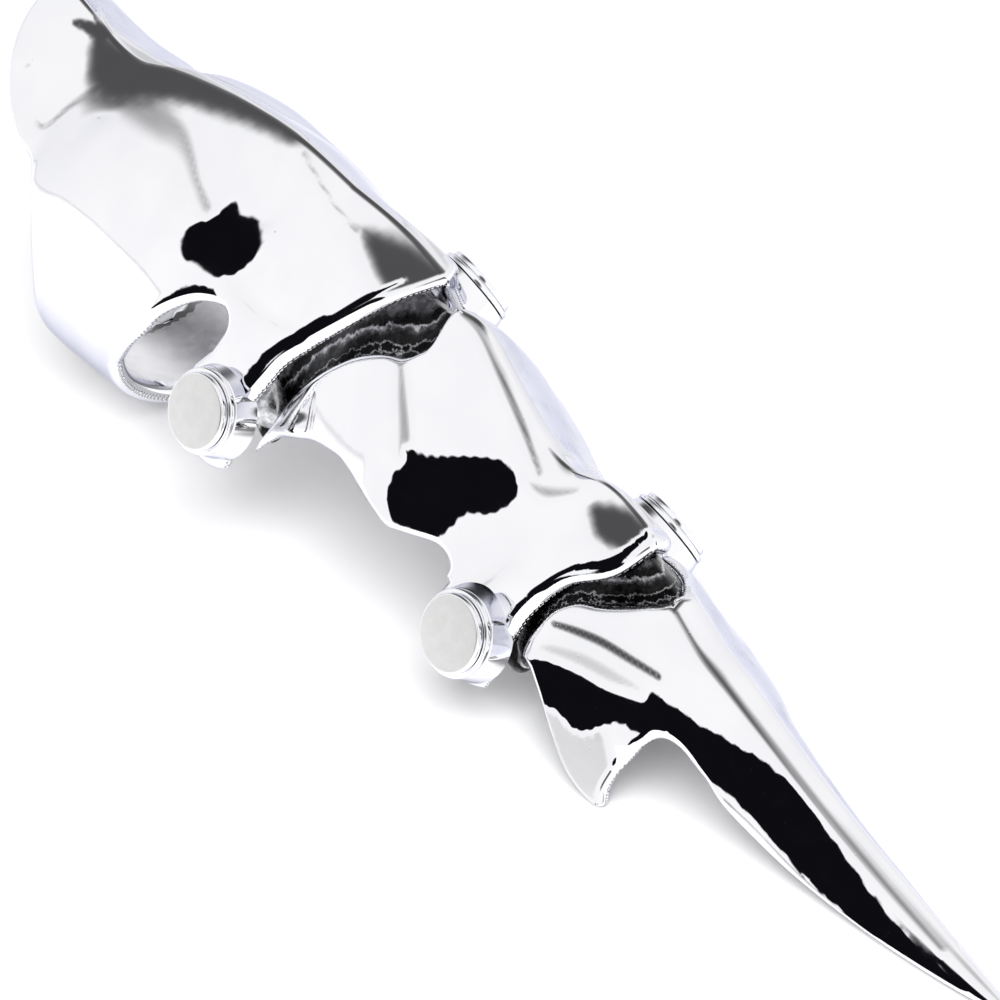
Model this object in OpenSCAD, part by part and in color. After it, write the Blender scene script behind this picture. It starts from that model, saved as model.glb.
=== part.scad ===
// Full finger armour ring: three cast shells on two pairs of rivets.
// The base shell carries the ring band, the middle shell covers the finger's second bone,
// and the claw runs out to a point. Everything bends down towards the palm.

/* [Finger] */
// Radius of the finger bore inside the band
bore_r = 10; // [9:0.1:11]
// Length of the band along the finger
band_len = 9.2; // [8:0.1:10.5]
// Distance between the two hinge axes
link = 29; // [27:0.5:32]

/* [Reach] */
// First hinge axis back to the rear tip of the base shell
base_rear = 40; // [38:0.5:43]
// First hinge axis forward to the point of the base lip
base_lip = 12.4; // [11.5:0.1:13]
// Second hinge axis forward to the point of the middle lip
middle_lip = 9.7; // [9:0.1:10.5]
// Second hinge axis forward to the tip of the claw
claw_len = 52; // [46:0.5:56]

/* [Heights] */
// Ridge of the base lip above the first hinge axis
base_h = 18.4; // [17:0.1:20]
// Highest ridge of the middle shell above the hinge axes
middle_h = 17.1; // [16:0.1:18]
// Highest ridge of the claw above the second hinge axis
claw_h = 12.1; // [11:0.1:13]
// Drop of the finger bore's axis below the first hinge axis
bore_drop = 6.1; // [5.5:0.1:6.6]
// Slope of the hinge line down towards the claw, with the band lying level
pitch = 11.7; // [11:0.1:12.4]

/* [Widths] */
// Width over the base shell's lugs, at the first hinge axis
base_span = 23.5; // [22.8:0.1:24.5]
// Width over the middle shell's lugs, at the second hinge axis
middle_span = 17.6; // [17:0.1:18.4]
// Width over the claw's two barbs
barb_span = 17; // [16.2:0.1:18]

/* [Metal] */
// Wall of the three shells
wall = 1.5; // [1.3:0.05:1.7]
// Thickness of the band outside the finger bore
band_wall = 1.7; // [1.4:0.05:2]
// Step from a shell's outside down to the rough tongue behind its rim
tongue_step = 1.25; // [1.15:0.05:1.35]
// Wall of a tongue
tongue_wall = 1.1; // [1:0.05:1.3]

/* [Hinges] */
// Radius of a lug's round end
lug_r = 4.3; // [4.1:0.1:4.4]
// Lean of the lugs towards the ridge
lean = 27; // [24:0.5:29]
// Radius of an ear inside a lug
ear_r = 3.3; // [3.0:0.1:3.6]
// Metal left at an ear's rim
ear_rim = 0.9; // [0.8:0.05:1.1]
// Radius of a rivet's pin
pin_r = 1.25; // [1.1:0.05:1.4]
// Radius of a rivet's top disc
head_r = 3.05; // [2.9:0.05:3.2]
// Thickness of the top disc
head_t = 0.5; // [0.4:0.05:0.6]
// Chamfer around the top disc
head_edge = 0.2; // [0.15:0.05:0.25]
// Radius of the collar under the top disc
collar_r = 3.4; // [3.25:0.05:3.5]
// Thickness of the collar
collar_t = 0.4; // [0.3:0.05:0.5]
// Height of the groove between the collar and the top disc
groove_t = 0.1; // [0.08:0.01:0.12]
// Depth of that groove
groove_d = 0.25; // [0.2:0.05:0.3]
// Radius of the flattened tail inside the shell
tail_r = 1.95; // [1.8:0.05:2.2]
// Thickness of the tail
tail_t = 0.6; // [0.5:0.05:0.8]
// Height of the flared pad under a rivet
pad_t = 1.15; // [1.0:0.05:1.3]
// How much wider than the collar the pad's foot is
pad_flare = 0.45; // [0.3:0.05:0.6]
// Radial play between a pin and its hole
pin_play = 0.05; // [0.03:0.01:0.08]
// Gap between a rivet and the faces beside it
seat_gap = 0.08; // [0.05:0.01:0.1]
// Gap between a lug and the ear inside it
ear_gap = 0.35; // [0.3:0.05:0.5]

/* [Hidden] */

metal = [0.80, 0.81, 0.83];
round_fn = 64;
eps = 0.01;

hole_r = pin_r + pin_play;
// A leaning flank is thicker along the hinge axis than square to its face
wall_across = wall / cos(lean);
base_wall_across = wall * 1.27;
ridge_wall = wall * 1.3;
// How far the lofts run past the outlines that trim them
overrun = wall / 3;
middle_reach = link + middle_lip;
middle_belly = 0.175 * middle_h;
claw_belly = 0.25 * claw_h;

// The finger bore's axis lies level at the origin. The hinge frame is tipped by the pitch.
bore_back = base_rear * 0.485;
band_r = bore_r + band_wall;
// Height of the bore's axis in the hinge frame, at a place x along it
function bore_z(x) = -bore_drop + (x + bore_back) * tan(pitch);
// Height of the surface that the ring lies on, in the hinge frame
function ground_z(x) = bore_z(x) - band_r / cos(pitch);

// Base shell: a row for each section from the rear tip to the lip.
// Columns: forward share, lugs' share of the width (the rest is the band's), half width as a
// share of the half width so found, drop of the spring line, ridge, fullness, crown.
base_forms = [
    [-1.02, 0, 0.55, -0.60, 0.49, 1.5, 0.75],
    [-0.98, 0, 0.56, -0.58, 0.50, 1.5, 0.75],
    [-0.88, 0, 0.66, -0.54, 0.48, 1.2, 1.02],
    [-0.785, 0, 0.795, -0.44, 0.45, 1.3, 1.08],
    [-0.705, 0, 0.98, -0.06, 0.48, 2.9, 1.20],
    [-0.60, 0, 1.01, 0.00, 0.61, 3.0, 1.02],
    [-0.47, 0, 1.02, 0.00, 0.74, 2.9, 1.02],
    [-0.34, 0.5, 1.03, 0.00, 0.85, 2.3, 1.00],
    [-0.19, 1, 1.10, 0.08, 0.94, 1.6, 0.84],
    [-0.03, 1, 1.155, 0.16, 0.97, 1.2, 0.80],
    [0.57, 1, 1.205, 0.28, 1.02, 1.15, 0.80],
    [1.05, 1, 1.215, 0.36, 0.99, 1.15, 0.80]];

// Hollows pressed into both sides of the base shell.
// Columns: forward share of the rear length, up share, length, height, turn, depth in walls.
base_dents = [
    [-0.15, 0.53, 0.085, 0.16, 0, 0.34],
    [-0.38, 0.59, 0.20, 0.075, -3, 0.14],
    [-0.10, 0.36, 0.035, 0.13, 10, 0.12]];

// A lug's round end starts and stops at these angles
lug_from_angle = 160;
lug_to_angle = 310;

// Side outlines, as shares forward and up from the hinge axis.
base_rim = [[-1.00, 0.50], [-0.995, 0.36], [-0.98, 0.25], [-0.955, 0.14], [-0.91, 0.06],
    [-0.85, 0.03], [-0.785, 0.03], [-0.73, 0.0], [-0.685, -0.05], [-0.655, -0.17],
    [-0.635, -0.40]];
base_slot = [[-0.34, -0.37], [-0.305, -0.20], [-0.265, -0.04], [-0.23, 0.12], [-0.18, 0.25],
    [-0.14, 0.31], [-0.10, 0.33], [-0.075, 0.28], [-0.08, 0.17]];
base_edge = [[0.22, -0.07], [0.19, 0.08], [0.24, 0.24], [0.31, 0.38], [0.54, 0.62],
    [0.75, 0.82], [0.90, 0.93], [1.00, 1.00]];

// Middle shell: the half width is a share of half the span over the lugs, which narrows
// from the first hinge to the second.
// Columns: forward share, half width, ridge, fullness, crown.
middle_forms = [
    [0.00, 0.90, 0.60, 1.3, 0.80],
    [0.08, 0.92, 0.70, 1.3, 0.80],
    [0.17, 1.00, 0.86, 1.3, 0.80],
    [0.34, 1.115, 0.95, 1.3, 0.78],
    [0.43, 1.155, 1.00, 1.3, 0.78],
    [0.51, 1.165, 0.89, 1.35, 0.75],
    [0.61, 1.13, 0.75, 1.4, 0.74],
    [0.66, 1.125, 0.70, 1.4, 0.74],
    [0.73, 1.13, 0.71, 1.35, 0.76],
    [0.84, 1.14, 0.83, 1.2, 0.80],
    [0.94, 1.14, 0.83, 1.15, 0.80],
    [1.02, 1.12, 0.77, 1.15, 0.80]];
// Height of the line where the flanks turn in, for all its sections
middle_spring = -0.30;
// Hollows, as columns of the base's table, with shares of the middle shell's sizes
middle_dents = [
    [0.63, 0.38, 0.13, 0.28, 0, 0.50],
    [0.33, 0.52, 0.16, 0.07, -8, 0.14]];
middle_rim = [[0.33, 1.05], [0.34, 0.92], [0.35, 0.82], [0.335, 0.76], [0.31, 0.705],
    [0.255, 0.63], [0.205, 0.54], [0.17, 0.45], [0.135, 0.34], [0.105, 0.21], [0.09, 0.11],
    [0.08, 0.00], [0.068, -0.11], [0.062, -0.20]];
middle_under = [[0.08, -0.12], [0.11, -0.03], [0.167, 0.065], [0.21, 0.125], [0.257, 0.163],
    [0.294, 0.183], [0.325, 0.183], [0.356, 0.175], [0.396, 0.16], [0.434, 0.142],
    [0.474, 0.125], [0.505, 0.142], [0.542, 0.164], [0.582, 0.183], [0.61, 0.171],
    [0.629, 0.14], [0.632, 0.09]];
// The tongue that runs back from the rim, under the base's lip, to the ears
middle_tongue = [[0.24, 1.10], [0.24, 0.93], [0.225, 0.84], [0.20, 0.77], [0.15, 0.67],
    [0.095, 0.53], [0.05, 0.39], [0.02, 0.27], [0.005, 0.18], [0.005, -0.10], [0.035, -0.17],
    [0.07, -0.17], [0.092, -0.07], [0.12, 0.07], [0.15, 0.20], [0.18, 0.32], [0.22, 0.44],
    [0.28, 0.56], [0.34, 0.66], [0.38, 0.74], [0.40, 0.84], [0.40, 1.10]];
middle_edge = [[0.30, -0.12], [0.33, 0.08], [0.37, 0.24], [0.54, 0.44], [0.86, 0.60],
    [1.00, 0.76]];

// Claw: columns are forward share, barbs' share of the width (the rest is the lugs'),
// half width as a share of the half width so found, spring height, ridge, fullness, crown.
claw_forms = [
    [0.00, 0, 0.94, -0.40, 0.98, 1.3, 0.76],
    [0.05, 0, 0.965, -0.42, 1.02, 1.3, 0.75],
    [0.12, 0, 0.995, -0.44, 1.04, 1.3, 0.72],
    [0.19, 0.5, 1.03, -0.46, 0.99, 1.35, 0.70],
    [0.26, 1, 1.05, -0.46, 0.86, 1.4, 0.68],
    [0.32, 1, 0.99, -0.44, 0.74, 1.5, 0.65],
    [0.38, 1, 0.80, -0.32, 0.68, 1.7, 0.60],
    [0.45, 1, 0.54, -0.14, 0.61, 1.9, 0.56],
    [0.61, 1, 0.37, -0.06, 0.46, 2.0, 0.52],
    [0.74, 1, 0.29, 0.02, 0.38, 2.0, 0.50],
    [0.86, 1, 0.20, 0.12, 0.33, 2.0, 0.50],
    [0.96, 1, 0.11, 0.21, 0.31, 2.0, 0.50],
    [1.00, 1, 0.04, 0.25, 0.30, 2.0, 0.50]];
claw_rim = [[0.225, 1.12], [0.232, 0.96], [0.235, 0.86], [0.214, 0.79], [0.19, 0.725],
    [0.161, 0.65], [0.122, 0.56], [0.092, 0.41], [0.078, 0.26], [0.073, 0.12], [0.075, 0.0]];
// Its tongue, which runs back under the middle shell's lip
claw_tongue = [[0.16, 1.20], [0.16, 0.92], [0.145, 0.82], [0.115, 0.73], [0.075, 0.64],
    [0.04, 0.50], [0.018, 0.37], [0.005, 0.26], [0.005, -0.15], [0.035, -0.22],
    [0.07, -0.20], [0.092, 0.00], [0.105, 0.20], [0.125, 0.37], [0.16, 0.49], [0.19, 0.56],
    [0.225, 0.65], [0.25, 0.74], [0.265, 0.85], [0.265, 1.20]];
// The low furrow in front of each of its rivets
claw_dents = [
    [0.20, 0.33, 0.14, 0.07, 14, 0.16]];
// Barbs: columns are forward share and the share of the way down to the ground.
claw_barb = [[0.10, 0.05], [0.14, 0.22], [0.18, 0.46], [0.225, 0.74], [0.265, 0.92],
    [0.295, 1.00], [0.314, 0.94], [0.31, 0.60], [0.314, 0.22]];
claw_under = [[0.33, 0.14], [0.35, 0.23], [0.38, 0.23], [0.42, 0.15], [0.48, 0.04],
    [0.61, -0.02], [0.74, 0.03], [0.86, 0.115], [0.96, 0.21], [1.00, 0.25]];

// A cubic through a table's rows, read at x in column k
function row_of(t, x, i = 0) = (i >= len(t) - 2 || x < t[i + 1][0]) ? i : row_of(t, x, i + 1);
function slope(t, k, i) =
    let (a = max(i - 1, 0), b = min(i + 1, len(t) - 1))
    (t[b][k] - t[a][k]) / (t[b][0] - t[a][0]);
function at(t, k, x) =
    let (i = row_of(t, x), h = t[i + 1][0] - t[i][0], u = (x - t[i][0]) / h,
        u2 = u * u, u3 = u2 * u)
    (2 * u3 - 3 * u2 + 1) * t[i][k] + (u3 - 2 * u2 + u) * h * slope(t, k, i)
        + (3 * u2 - 2 * u3) * t[i + 1][k] + (u3 - u2) * h * slope(t, k, i + 1);

// A smooth run of points through the given ones
function knot(a, b, c, d, u) =
    0.5 * (2 * b + (c - a) * u + (2 * a - 5 * b + 4 * c - d) * u * u
        + (3 * b - a - 3 * c + d) * u * u * u);
function smooth(p, n = 3) =
    [for (i = [0:len(p) - 2], j = [0:n - 1])
        knot(p[max(i - 1, 0)], p[i], p[i + 1], p[min(i + 2, len(p) - 1)], j / n),
    p[len(p) - 1]];
function scaled(p, sx, sz) = [for (q = p) [q[0] * sx, q[1] * sz]];
function arc(r, from, to, n = 14) = [for (i = [0:n]) let (a = from + (to - from) * i / n) r * [cos(a), sin(a)]];

// Depth of all of a table's hollows at one place, for a shell of length sx and height sz
function total(v, i = 0) = i < len(v) ? v[i] + total(v, i + 1) : 0;
function hollow(t, sx, sz, x, z) = wall * total([for (d = t)
    let (dx = x - d[0] * sx, dz = z - d[1] * sz,
        u = (dx * cos(d[4]) + dz * sin(d[4])) / (d[2] * sx),
        v = (dz * cos(d[4]) - dx * sin(d[4])) / (d[3] * sz))
    d[5] * exp(-u * u - v * v)]);

// One ring of a shell. A form holds half width, spring height, ridge, belly, fullness, crown.
// Angles run from the belly at -90 over the near side to the ridge at 90, and down the far side.
steps = 12;
low_steps = 5;
function side_angles() = concat([for (i = [0:low_steps - 1]) -90 + 90 * i / low_steps],
    [for (i = [0:steps]) 90 * i / steps]);
function half_y(f, a) = a < 0 ? f[0] * cos(a) : f[0] * pow(max(1 - pow(sin(a), f[4]), 0), f[5]);
function side_z(f, a) = a < 0 ? f[1] + f[3] * sin(a) : f[1] + (f[2] - f[1]) * sin(a);
function ring(f, x, t, sx, sz) =
    let (angles = side_angles(), n = len(angles),
        zs = [for (a = angles) side_z(f, a)],
        ys = [for (i = [0:n - 1]) half_y(f, angles[i]) * (1 - hollow(t, sx, sz, x, zs[i]) / f[0])])
    concat([for (i = [0:n - 1]) [x, -ys[i], zs[i]]],
        [for (i = [n - 2:-1:1]) [x, ys[i], zs[i]]]);

// A closed solid through rings of equal length, with flat ends
module loft(rings) {
    n = len(rings[0]);
    m = len(rings);
    points = [for (r = rings) each r];
    sides = [for (i = [0:m - 2], j = [0:n - 1])
        let (a = i * n + j, b = i * n + (j + 1) % n)
        each [[a, b, b + n], [a, b + n, a + n]]];
    polyhedron(points, concat(sides,
        [[for (j = [n - 1:-1:0]) j], [for (j = [0:n - 1]) (m - 1) * n + j]]));
}

function thin(f, t, up) = [f[0] - t, f[1], f[2] - up, f[3] - t, f[4], f[5]];
function stations(from, to, n) = [for (i = [0:n]) from + (to - from) * i / n];

// A side outline made into a block across the whole part
module side_block(outline) {
    rotate([90, 0, 0])
        linear_extrude(height = 4 * base_span, center = true)
            polygon(outline);
}

// Turns a piece from the hinge frame into the frame of the level finger bore
module laid() {
    rotate([0, pitch, 0])
        translate([bore_back, 0, bore_drop])
            children();
}

// Both sides of a hinge, from one made on the far side
module both() {
    children();
    mirror([0, 1, 0]) children();
}

// The pad that a rivet sits on, flared out towards the lug's round end
module pad(span) {
    translate([0, span / 2, 0])
        rotate([lean - 90, 0, 0])
            translate([0, 0, -wall / 2])
                cylinder(r1 = collar_r + pad_flare, r2 = collar_r, h = wall / 2 + pad_t,
                    $fn = round_fn);
}

// A hole along the hinge axis through both sides
module pin_hole(span) {
    rotate([90, 0, 0])
        cylinder(r = hole_r, h = 2 * span, center = true, $fn = round_fn);
}

function ear_top(span) = span / 2 - wall_across - ear_gap;
function ear_floor(span) = ear_top(span) - ear_r * tan(lean) - ear_rim;

// Room for the rivet's tail on the inner face of each ear
module tail_room(span) {
    rotate([90, 0, 0])
        cylinder(r = tail_r + ear_gap, h = 2 * ear_floor(span), center = true, $fn = round_fn);
}

// A domed ear that turns inside a leaning lug
module ear(span) {
    rotate([-90, 0, 0])
        rotate_extrude($fn = round_fn)
            polygon([[0, ear_floor(span)], [ear_r, ear_floor(span)],
                [ear_r, ear_floor(span) + ear_rim], [0, ear_top(span)]]);
}

function base_form(x) =
    let (s = x < 0 ? x / base_rear : x / base_lip, t = base_forms, k = at(t, 1, s),
        half = band_r * (1 - k) + base_span / 2 * k)
    [half * at(t, 2, s), bore_z(x) - at(t, 3, s) * base_h, at(t, 4, s) * base_h,
        band_r, at(t, 5, s), at(t, 6, s)];

module base_shell() {
    xs = stations(-base_rear - overrun, base_lip + overrun, 34);
    outline = concat(
        smooth(scaled(base_rim, base_rear, base_h)),
        [[-bore_back - band_len * 0.62, bore_z(-bore_back) - band_r * 0.95],
        [-bore_back - band_len * 0.5, bore_z(-bore_back) - band_r * 1.4],
        [-bore_back + band_len * 0.5, bore_z(-bore_back) - band_r * 1.4],
        [-bore_back + band_len * 0.55, bore_z(-bore_back) - band_r * 0.5]],
        smooth(scaled(base_slot, base_rear, base_h)),
        arc(lug_r, lug_from_angle, lug_to_angle),
        smooth(scaled(base_edge, base_lip, base_h)),
        [[base_lip, 2 * base_h], [-base_rear, 2 * base_h]]);
    color(metal)
    laid()
    difference() {
        union() {
            difference() {
                intersection() {
                    loft([for (x = xs) ring(base_form(x), x, base_dents, base_rear, base_h)]);
                    side_block(outline);
                }
                loft([for (x = stations(-base_rear - 2 * overrun, base_lip + 2 * overrun, 34))
                    ring(thin(base_form(x), base_wall_across, ridge_wall), x,
                        base_dents, base_rear, base_h)]);
            }
            both() pad(base_span);
        }
        pin_hole(base_span);
        translate([-bore_back, 0, -bore_drop])
            rotate([0, 90 - pitch, 0])
                cylinder(r = bore_r, h = 2 * band_len, center = true, $fn = 96);
    }
}

function middle_form(x) =
    let (s = x / middle_reach, t = middle_forms, forward = max(0, min(1, x / link)),
        half = (base_span * (1 - forward) + middle_span * forward) / 2)
    [at(t, 1, s) * half, middle_spring * middle_h, at(t, 2, s) * middle_h,
        middle_belly, at(t, 3, s), at(t, 4, s)];

// The tongue of a shell, from the rings of its two faces and its side outline
module tongue(outer, inner, outline) {
    difference() {
        intersection() {
            loft(outer);
            side_block(outline);
        }
        loft(inner);
    }
}

module middle_shell() {
    outline = concat(
        smooth(scaled(middle_rim, middle_reach, middle_h)),
        smooth(scaled(middle_under, middle_reach, middle_h)),
        [for (p = arc(lug_r, lug_from_angle, lug_to_angle)) p + [link, 0]],
        [for (p = smooth(scaled(middle_edge, middle_lip, middle_h))) p + [link, 0]],
        [[middle_reach, 2 * middle_h], [0.34 * middle_reach, 2 * middle_h]]);
    color(metal)
    laid()
    difference() {
        union() {
            difference() {
                intersection() {
                    loft([for (x = stations(0, middle_reach + overrun, 28))
                        ring(middle_form(x), x, middle_dents, middle_reach, middle_h)]);
                    side_block(outline);
                }
                loft([for (x = stations(-overrun, middle_reach + 2 * overrun, 28))
                    ring(thin(middle_form(x), wall_across, ridge_wall), x,
                        middle_dents, middle_reach, middle_h)]);
            }
            tongue([for (x = stations(0, 0.42 * middle_reach, 8))
                    ring(thin(middle_form(x), tongue_step, tongue_step), x,
                        middle_dents, middle_reach, middle_h)],
                [for (x = stations(-overrun, 0.44 * middle_reach, 8))
                    ring(thin(middle_form(x), tongue_step + tongue_wall, tongue_step + tongue_wall),
                        x, middle_dents, middle_reach, middle_h)],
                smooth(scaled(middle_tongue, middle_reach, middle_h)));
            both() ear(base_span);
            translate([link, 0, 0]) both() pad(middle_span);
        }
        pin_hole(base_span);
        tail_room(base_span);
        translate([link, 0, 0]) pin_hole(middle_span);
    }
}

function claw_form(x) =
    let (s = x / claw_len, t = claw_forms, k = at(t, 1, s), share = at(t, 2, s),
        half = (middle_span * (1 - k) + barb_span * k) / 2)
    [share * half, at(t, 3, s) * claw_h, at(t, 4, s) * claw_h,
        share * claw_belly, at(t, 5, s), at(t, 6, s)];

module claw_shell() {
    function drop(p) = [p[0] * claw_len, ground_z(link + p[0] * claw_len) * p[1]];
    outline = concat(
        smooth(scaled(claw_rim, claw_len, claw_h)),
        smooth([for (p = claw_barb) drop(p)]),
        smooth(scaled(claw_under, claw_len, claw_h)),
        [[claw_len, claw_h], [0.5 * claw_len, 2 * claw_h], [0.20 * claw_len, 2 * claw_h]]);
    color(metal)
    laid()
    translate([link, 0, 0])
    difference() {
        union() {
            difference() {
                intersection() {
                    loft([for (x = stations(0, claw_len, 34))
                        ring(claw_form(x), x, claw_dents, claw_len, claw_h)]);
                    side_block(outline);
                }
                loft([for (x = stations(-overrun, 0.64 * claw_len, 24))
                    ring(thin(claw_form(x), wall, wall), x,
                        claw_dents, claw_len, claw_h)]);
            }
            tongue([for (x = stations(0, 0.28 * claw_len, 6))
                    ring(thin(claw_form(x), tongue_step, tongue_step), x,
                        claw_dents, claw_len, claw_h)],
                [for (x = stations(-overrun, 0.30 * claw_len, 6))
                    ring(thin(claw_form(x), tongue_step + tongue_wall, tongue_step + tongue_wall),
                        x, claw_dents, claw_len, claw_h)],
                smooth(scaled(claw_tongue, claw_len, claw_h)));
            both() ear(middle_span);
        }
        pin_hole(middle_span);
        tail_room(middle_span);
    }
}

// A rivet on the far side: head, collar, pin along the hinge axis and flattened tail
module rivet(span) {
    tail_top = ear_floor(span) - seat_gap;
    stack = pad_t + collar_t + groove_t + head_t;
    pin_top = span / 2 + stack / cos(lean) - pin_r * tan(lean);
    color(metal)
    union() {
        translate([0, span / 2, 0])
            rotate([lean - 90, 0, 0])
                translate([0, 0, pad_t + seat_gap]) {
                    cylinder(r = collar_r, h = collar_t, $fn = round_fn);
                    cylinder(r = head_r - groove_d, h = collar_t + 2 * groove_t, $fn = round_fn);
                    translate([0, 0, collar_t + groove_t])
                        cylinder(r = head_r, h = head_t - head_edge, $fn = round_fn);
                    translate([0, 0, collar_t + groove_t + head_t - head_edge])
                        cylinder(r1 = head_r, r2 = head_r - head_edge, h = head_edge,
                            $fn = round_fn);
                }
        translate([0, tail_top, 0])
            rotate([-90, 0, 0])
                cylinder(r = pin_r, h = pin_top - tail_top, $fn = round_fn);
        translate([0, tail_top - tail_t, 0])
            rotate([-90, 0, 0])
                cylinder(r = tail_r, h = tail_t, $fn = round_fn);
    }
}

module rivet_1_far() { laid() rivet(base_span); }
module rivet_1_near() { laid() mirror([0, 1, 0]) rivet(base_span); }
module rivet_2_far() { laid() translate([link, 0, 0]) rivet(middle_span); }
module rivet_2_near() { laid() translate([link, 0, 0]) mirror([0, 1, 0]) rivet(middle_span); }

base_shell();
middle_shell();
claw_shell();
rivet_1_near();
rivet_1_far();
rivet_2_near();
rivet_2_far();
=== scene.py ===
"""Finished surfaces and studio for the knuckle armor ring.

The three shells are trimmed sheets of bright metal with rounded rims. They follow the same
sections, side outlines and hollows as the solids they stand for, with finer relief on top.
"""

import logging
import math
from dataclasses import dataclass, field
from enum import Enum

import bpy
import numpy as np
from mathutils import Matrix, Vector
from mathutils.geometry import delaunay_2d_cdt


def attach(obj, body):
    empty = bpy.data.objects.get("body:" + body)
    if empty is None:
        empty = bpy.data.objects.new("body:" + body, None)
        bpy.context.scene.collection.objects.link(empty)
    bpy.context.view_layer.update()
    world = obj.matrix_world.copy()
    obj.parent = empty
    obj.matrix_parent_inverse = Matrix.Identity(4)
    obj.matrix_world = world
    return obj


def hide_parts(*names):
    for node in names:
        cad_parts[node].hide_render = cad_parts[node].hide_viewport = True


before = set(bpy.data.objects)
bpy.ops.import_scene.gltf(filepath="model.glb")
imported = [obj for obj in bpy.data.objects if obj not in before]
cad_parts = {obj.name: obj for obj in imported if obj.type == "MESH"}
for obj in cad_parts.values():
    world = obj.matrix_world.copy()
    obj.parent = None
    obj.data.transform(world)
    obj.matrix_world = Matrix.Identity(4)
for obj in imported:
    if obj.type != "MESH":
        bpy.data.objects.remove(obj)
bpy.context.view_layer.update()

LOG = logging.getLogger("armor_ring")
MM = 0.001
# A rounded corner takes at most this share of the profile's straight pieces
CORNER_SHARE = 0.45
# How far apart two places are felt for, in millimetres, to know how a surface lies
TOUCH = 0.12
# A row of equal triangles is this high, as a share of their sides
TRIANGLE_ROW = 0.866
# Turns the near flank into the far one
MIRROR = np.array([1, -1, 1])
# The value that a tongue's points hold: how far they lie from the rim, in millimetres
FROM_RIM = "from_rim"
Point = tuple[float, float]
Colour = tuple[float, float, float]
Direction = tuple[float, float, float]
Pieces = tuple[np.ndarray, np.ndarray]
Three = tuple[np.ndarray, np.ndarray, np.ndarray]
Rows = tuple[tuple[float, ...], ...]


class Body(Enum):
    """The three moving bodies."""

    BASE = "base"
    MIDDLE = "middle"
    CLAW = "claw"


class Flank(Enum):
    """The two sides of the ring, as the sign of y."""

    NEAR = -1
    FAR = 1


# ---- small tools for curves and tables


def read(rows: np.ndarray, column: int, x: np.ndarray) -> np.ndarray:
    """Reads a column of a table with a smooth cubic between its rows.

    Args:
        rows: The table, with the place along the piece in its first column.
        column: The column to read.
        x: The places to read it at.

    Returns:
        The column's value at each place.
    """
    knots, values = rows[:, 0], rows[:, column]
    low = np.maximum(np.arange(len(knots)) - 1, 0)
    high = np.minimum(np.arange(len(knots)) + 1, len(knots) - 1)
    slopes = (values[high] - values[low]) / (knots[high] - knots[low])
    i = np.clip(np.searchsorted(knots, x, side="right") - 1, 0, len(knots) - 2)
    span = knots[i + 1] - knots[i]
    u = (x - knots[i]) / span
    u2, u3 = u * u, u * u * u
    return (
        (2 * u3 - 3 * u2 + 1) * values[i]
        + (u3 - 2 * u2 + u) * span * slopes[i]
        + (3 * u2 - 2 * u3) * values[i + 1]
        + (u3 - u2) * span * slopes[i + 1]
    )


def smooth(points: np.ndarray, steps: int = 3) -> np.ndarray:
    """Runs a smooth line through the given points.

    Args:
        points: The points to pass through, one row each.
        steps: How many steps to take from each point to the next.

    Returns:
        The finer line.
    """
    last = len(points) - 1
    made = []
    for i in range(last):
        a, b = points[max(i - 1, 0)], points[i]
        c, d = points[i + 1], points[min(i + 2, last)]
        for j in range(steps):
            u = j / steps
            made.append(
                0.5
                * (
                    2 * b
                    + (c - a) * u
                    + (2 * a - 5 * b + 4 * c - d) * u * u
                    + (3 * b - a - 3 * c + d) * u * u * u
                )
            )
    made.append(points[last])
    return np.array(made)


def arc(radius: float, start: float, end: float, steps: int = 14) -> np.ndarray:
    """Gives points on a circle about the origin, from one angle in degrees to another."""
    angles = np.radians(np.linspace(start, end, steps + 1))
    return radius * np.stack([np.cos(angles), np.sin(angles)], 1)


def spaced(loop: np.ndarray, step: float) -> np.ndarray:
    """Puts points at even steps along each side of a closed outline.

    Args:
        loop: The corners of the outline.
        step: The largest distance between two points.

    Returns:
        The points, corners included.
    """
    made = []
    for a, b in zip(loop, np.roll(loop, -1, axis=0)):
        count = max(1, int(math.ceil(np.linalg.norm(b - a) / step)))
        made.extend(a + (b - a) * k / count for k in range(count))
    return np.array(made)


def distance_to(points: np.ndarray, starts: np.ndarray, ends: np.ndarray) -> tuple[np.ndarray, np.ndarray]:
    """Finds how far each point lies from a set of straight pieces.

    Args:
        points: The points.
        starts: Where each straight piece starts.
        ends: Where it ends.

    Returns:
        The distances, and the nearest place on the pieces for each point.
    """
    along = ends - starts
    length = np.maximum((along**2).sum(1), 1e-12)
    far = np.full(len(points), 1e9)
    near = np.zeros_like(points)
    for k in range(0, len(points), 2000):
        p = points[k : k + 2000]
        u = np.clip(((p[:, None] - starts[None]) * along).sum(2) / length, 0, 1)
        feet = starts[None] + u[:, :, None] * along[None]
        gaps = ((p[:, None] - feet) ** 2).sum(2)
        best = gaps.argmin(1)
        rows = np.arange(len(p))
        far[k : k + 2000] = np.sqrt(gaps[rows, best])
        near[k : k + 2000] = feet[rows, best]
    return far, near


def inside(points: np.ndarray, loop: np.ndarray) -> np.ndarray:
    """Says for each point whether it lies inside a closed outline.

    Args:
        points: The points.
        loop: The outline.

    Returns:
        Whether each point is inside.
    """
    x, y = points[:, 0][:, None], points[:, 1][:, None]
    a, b = loop, np.roll(loop, -1, axis=0)
    with np.errstate(divide="ignore", invalid="ignore"):
        crossing = (a[:, 1] > y) != (b[:, 1] > y)
        at = (b[:, 0] - a[:, 0]) * (y - a[:, 1]) / (b[:, 1] - a[:, 1]) + a[:, 0]
    return (crossing & (x < at)).sum(1) % 2 == 1


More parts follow.
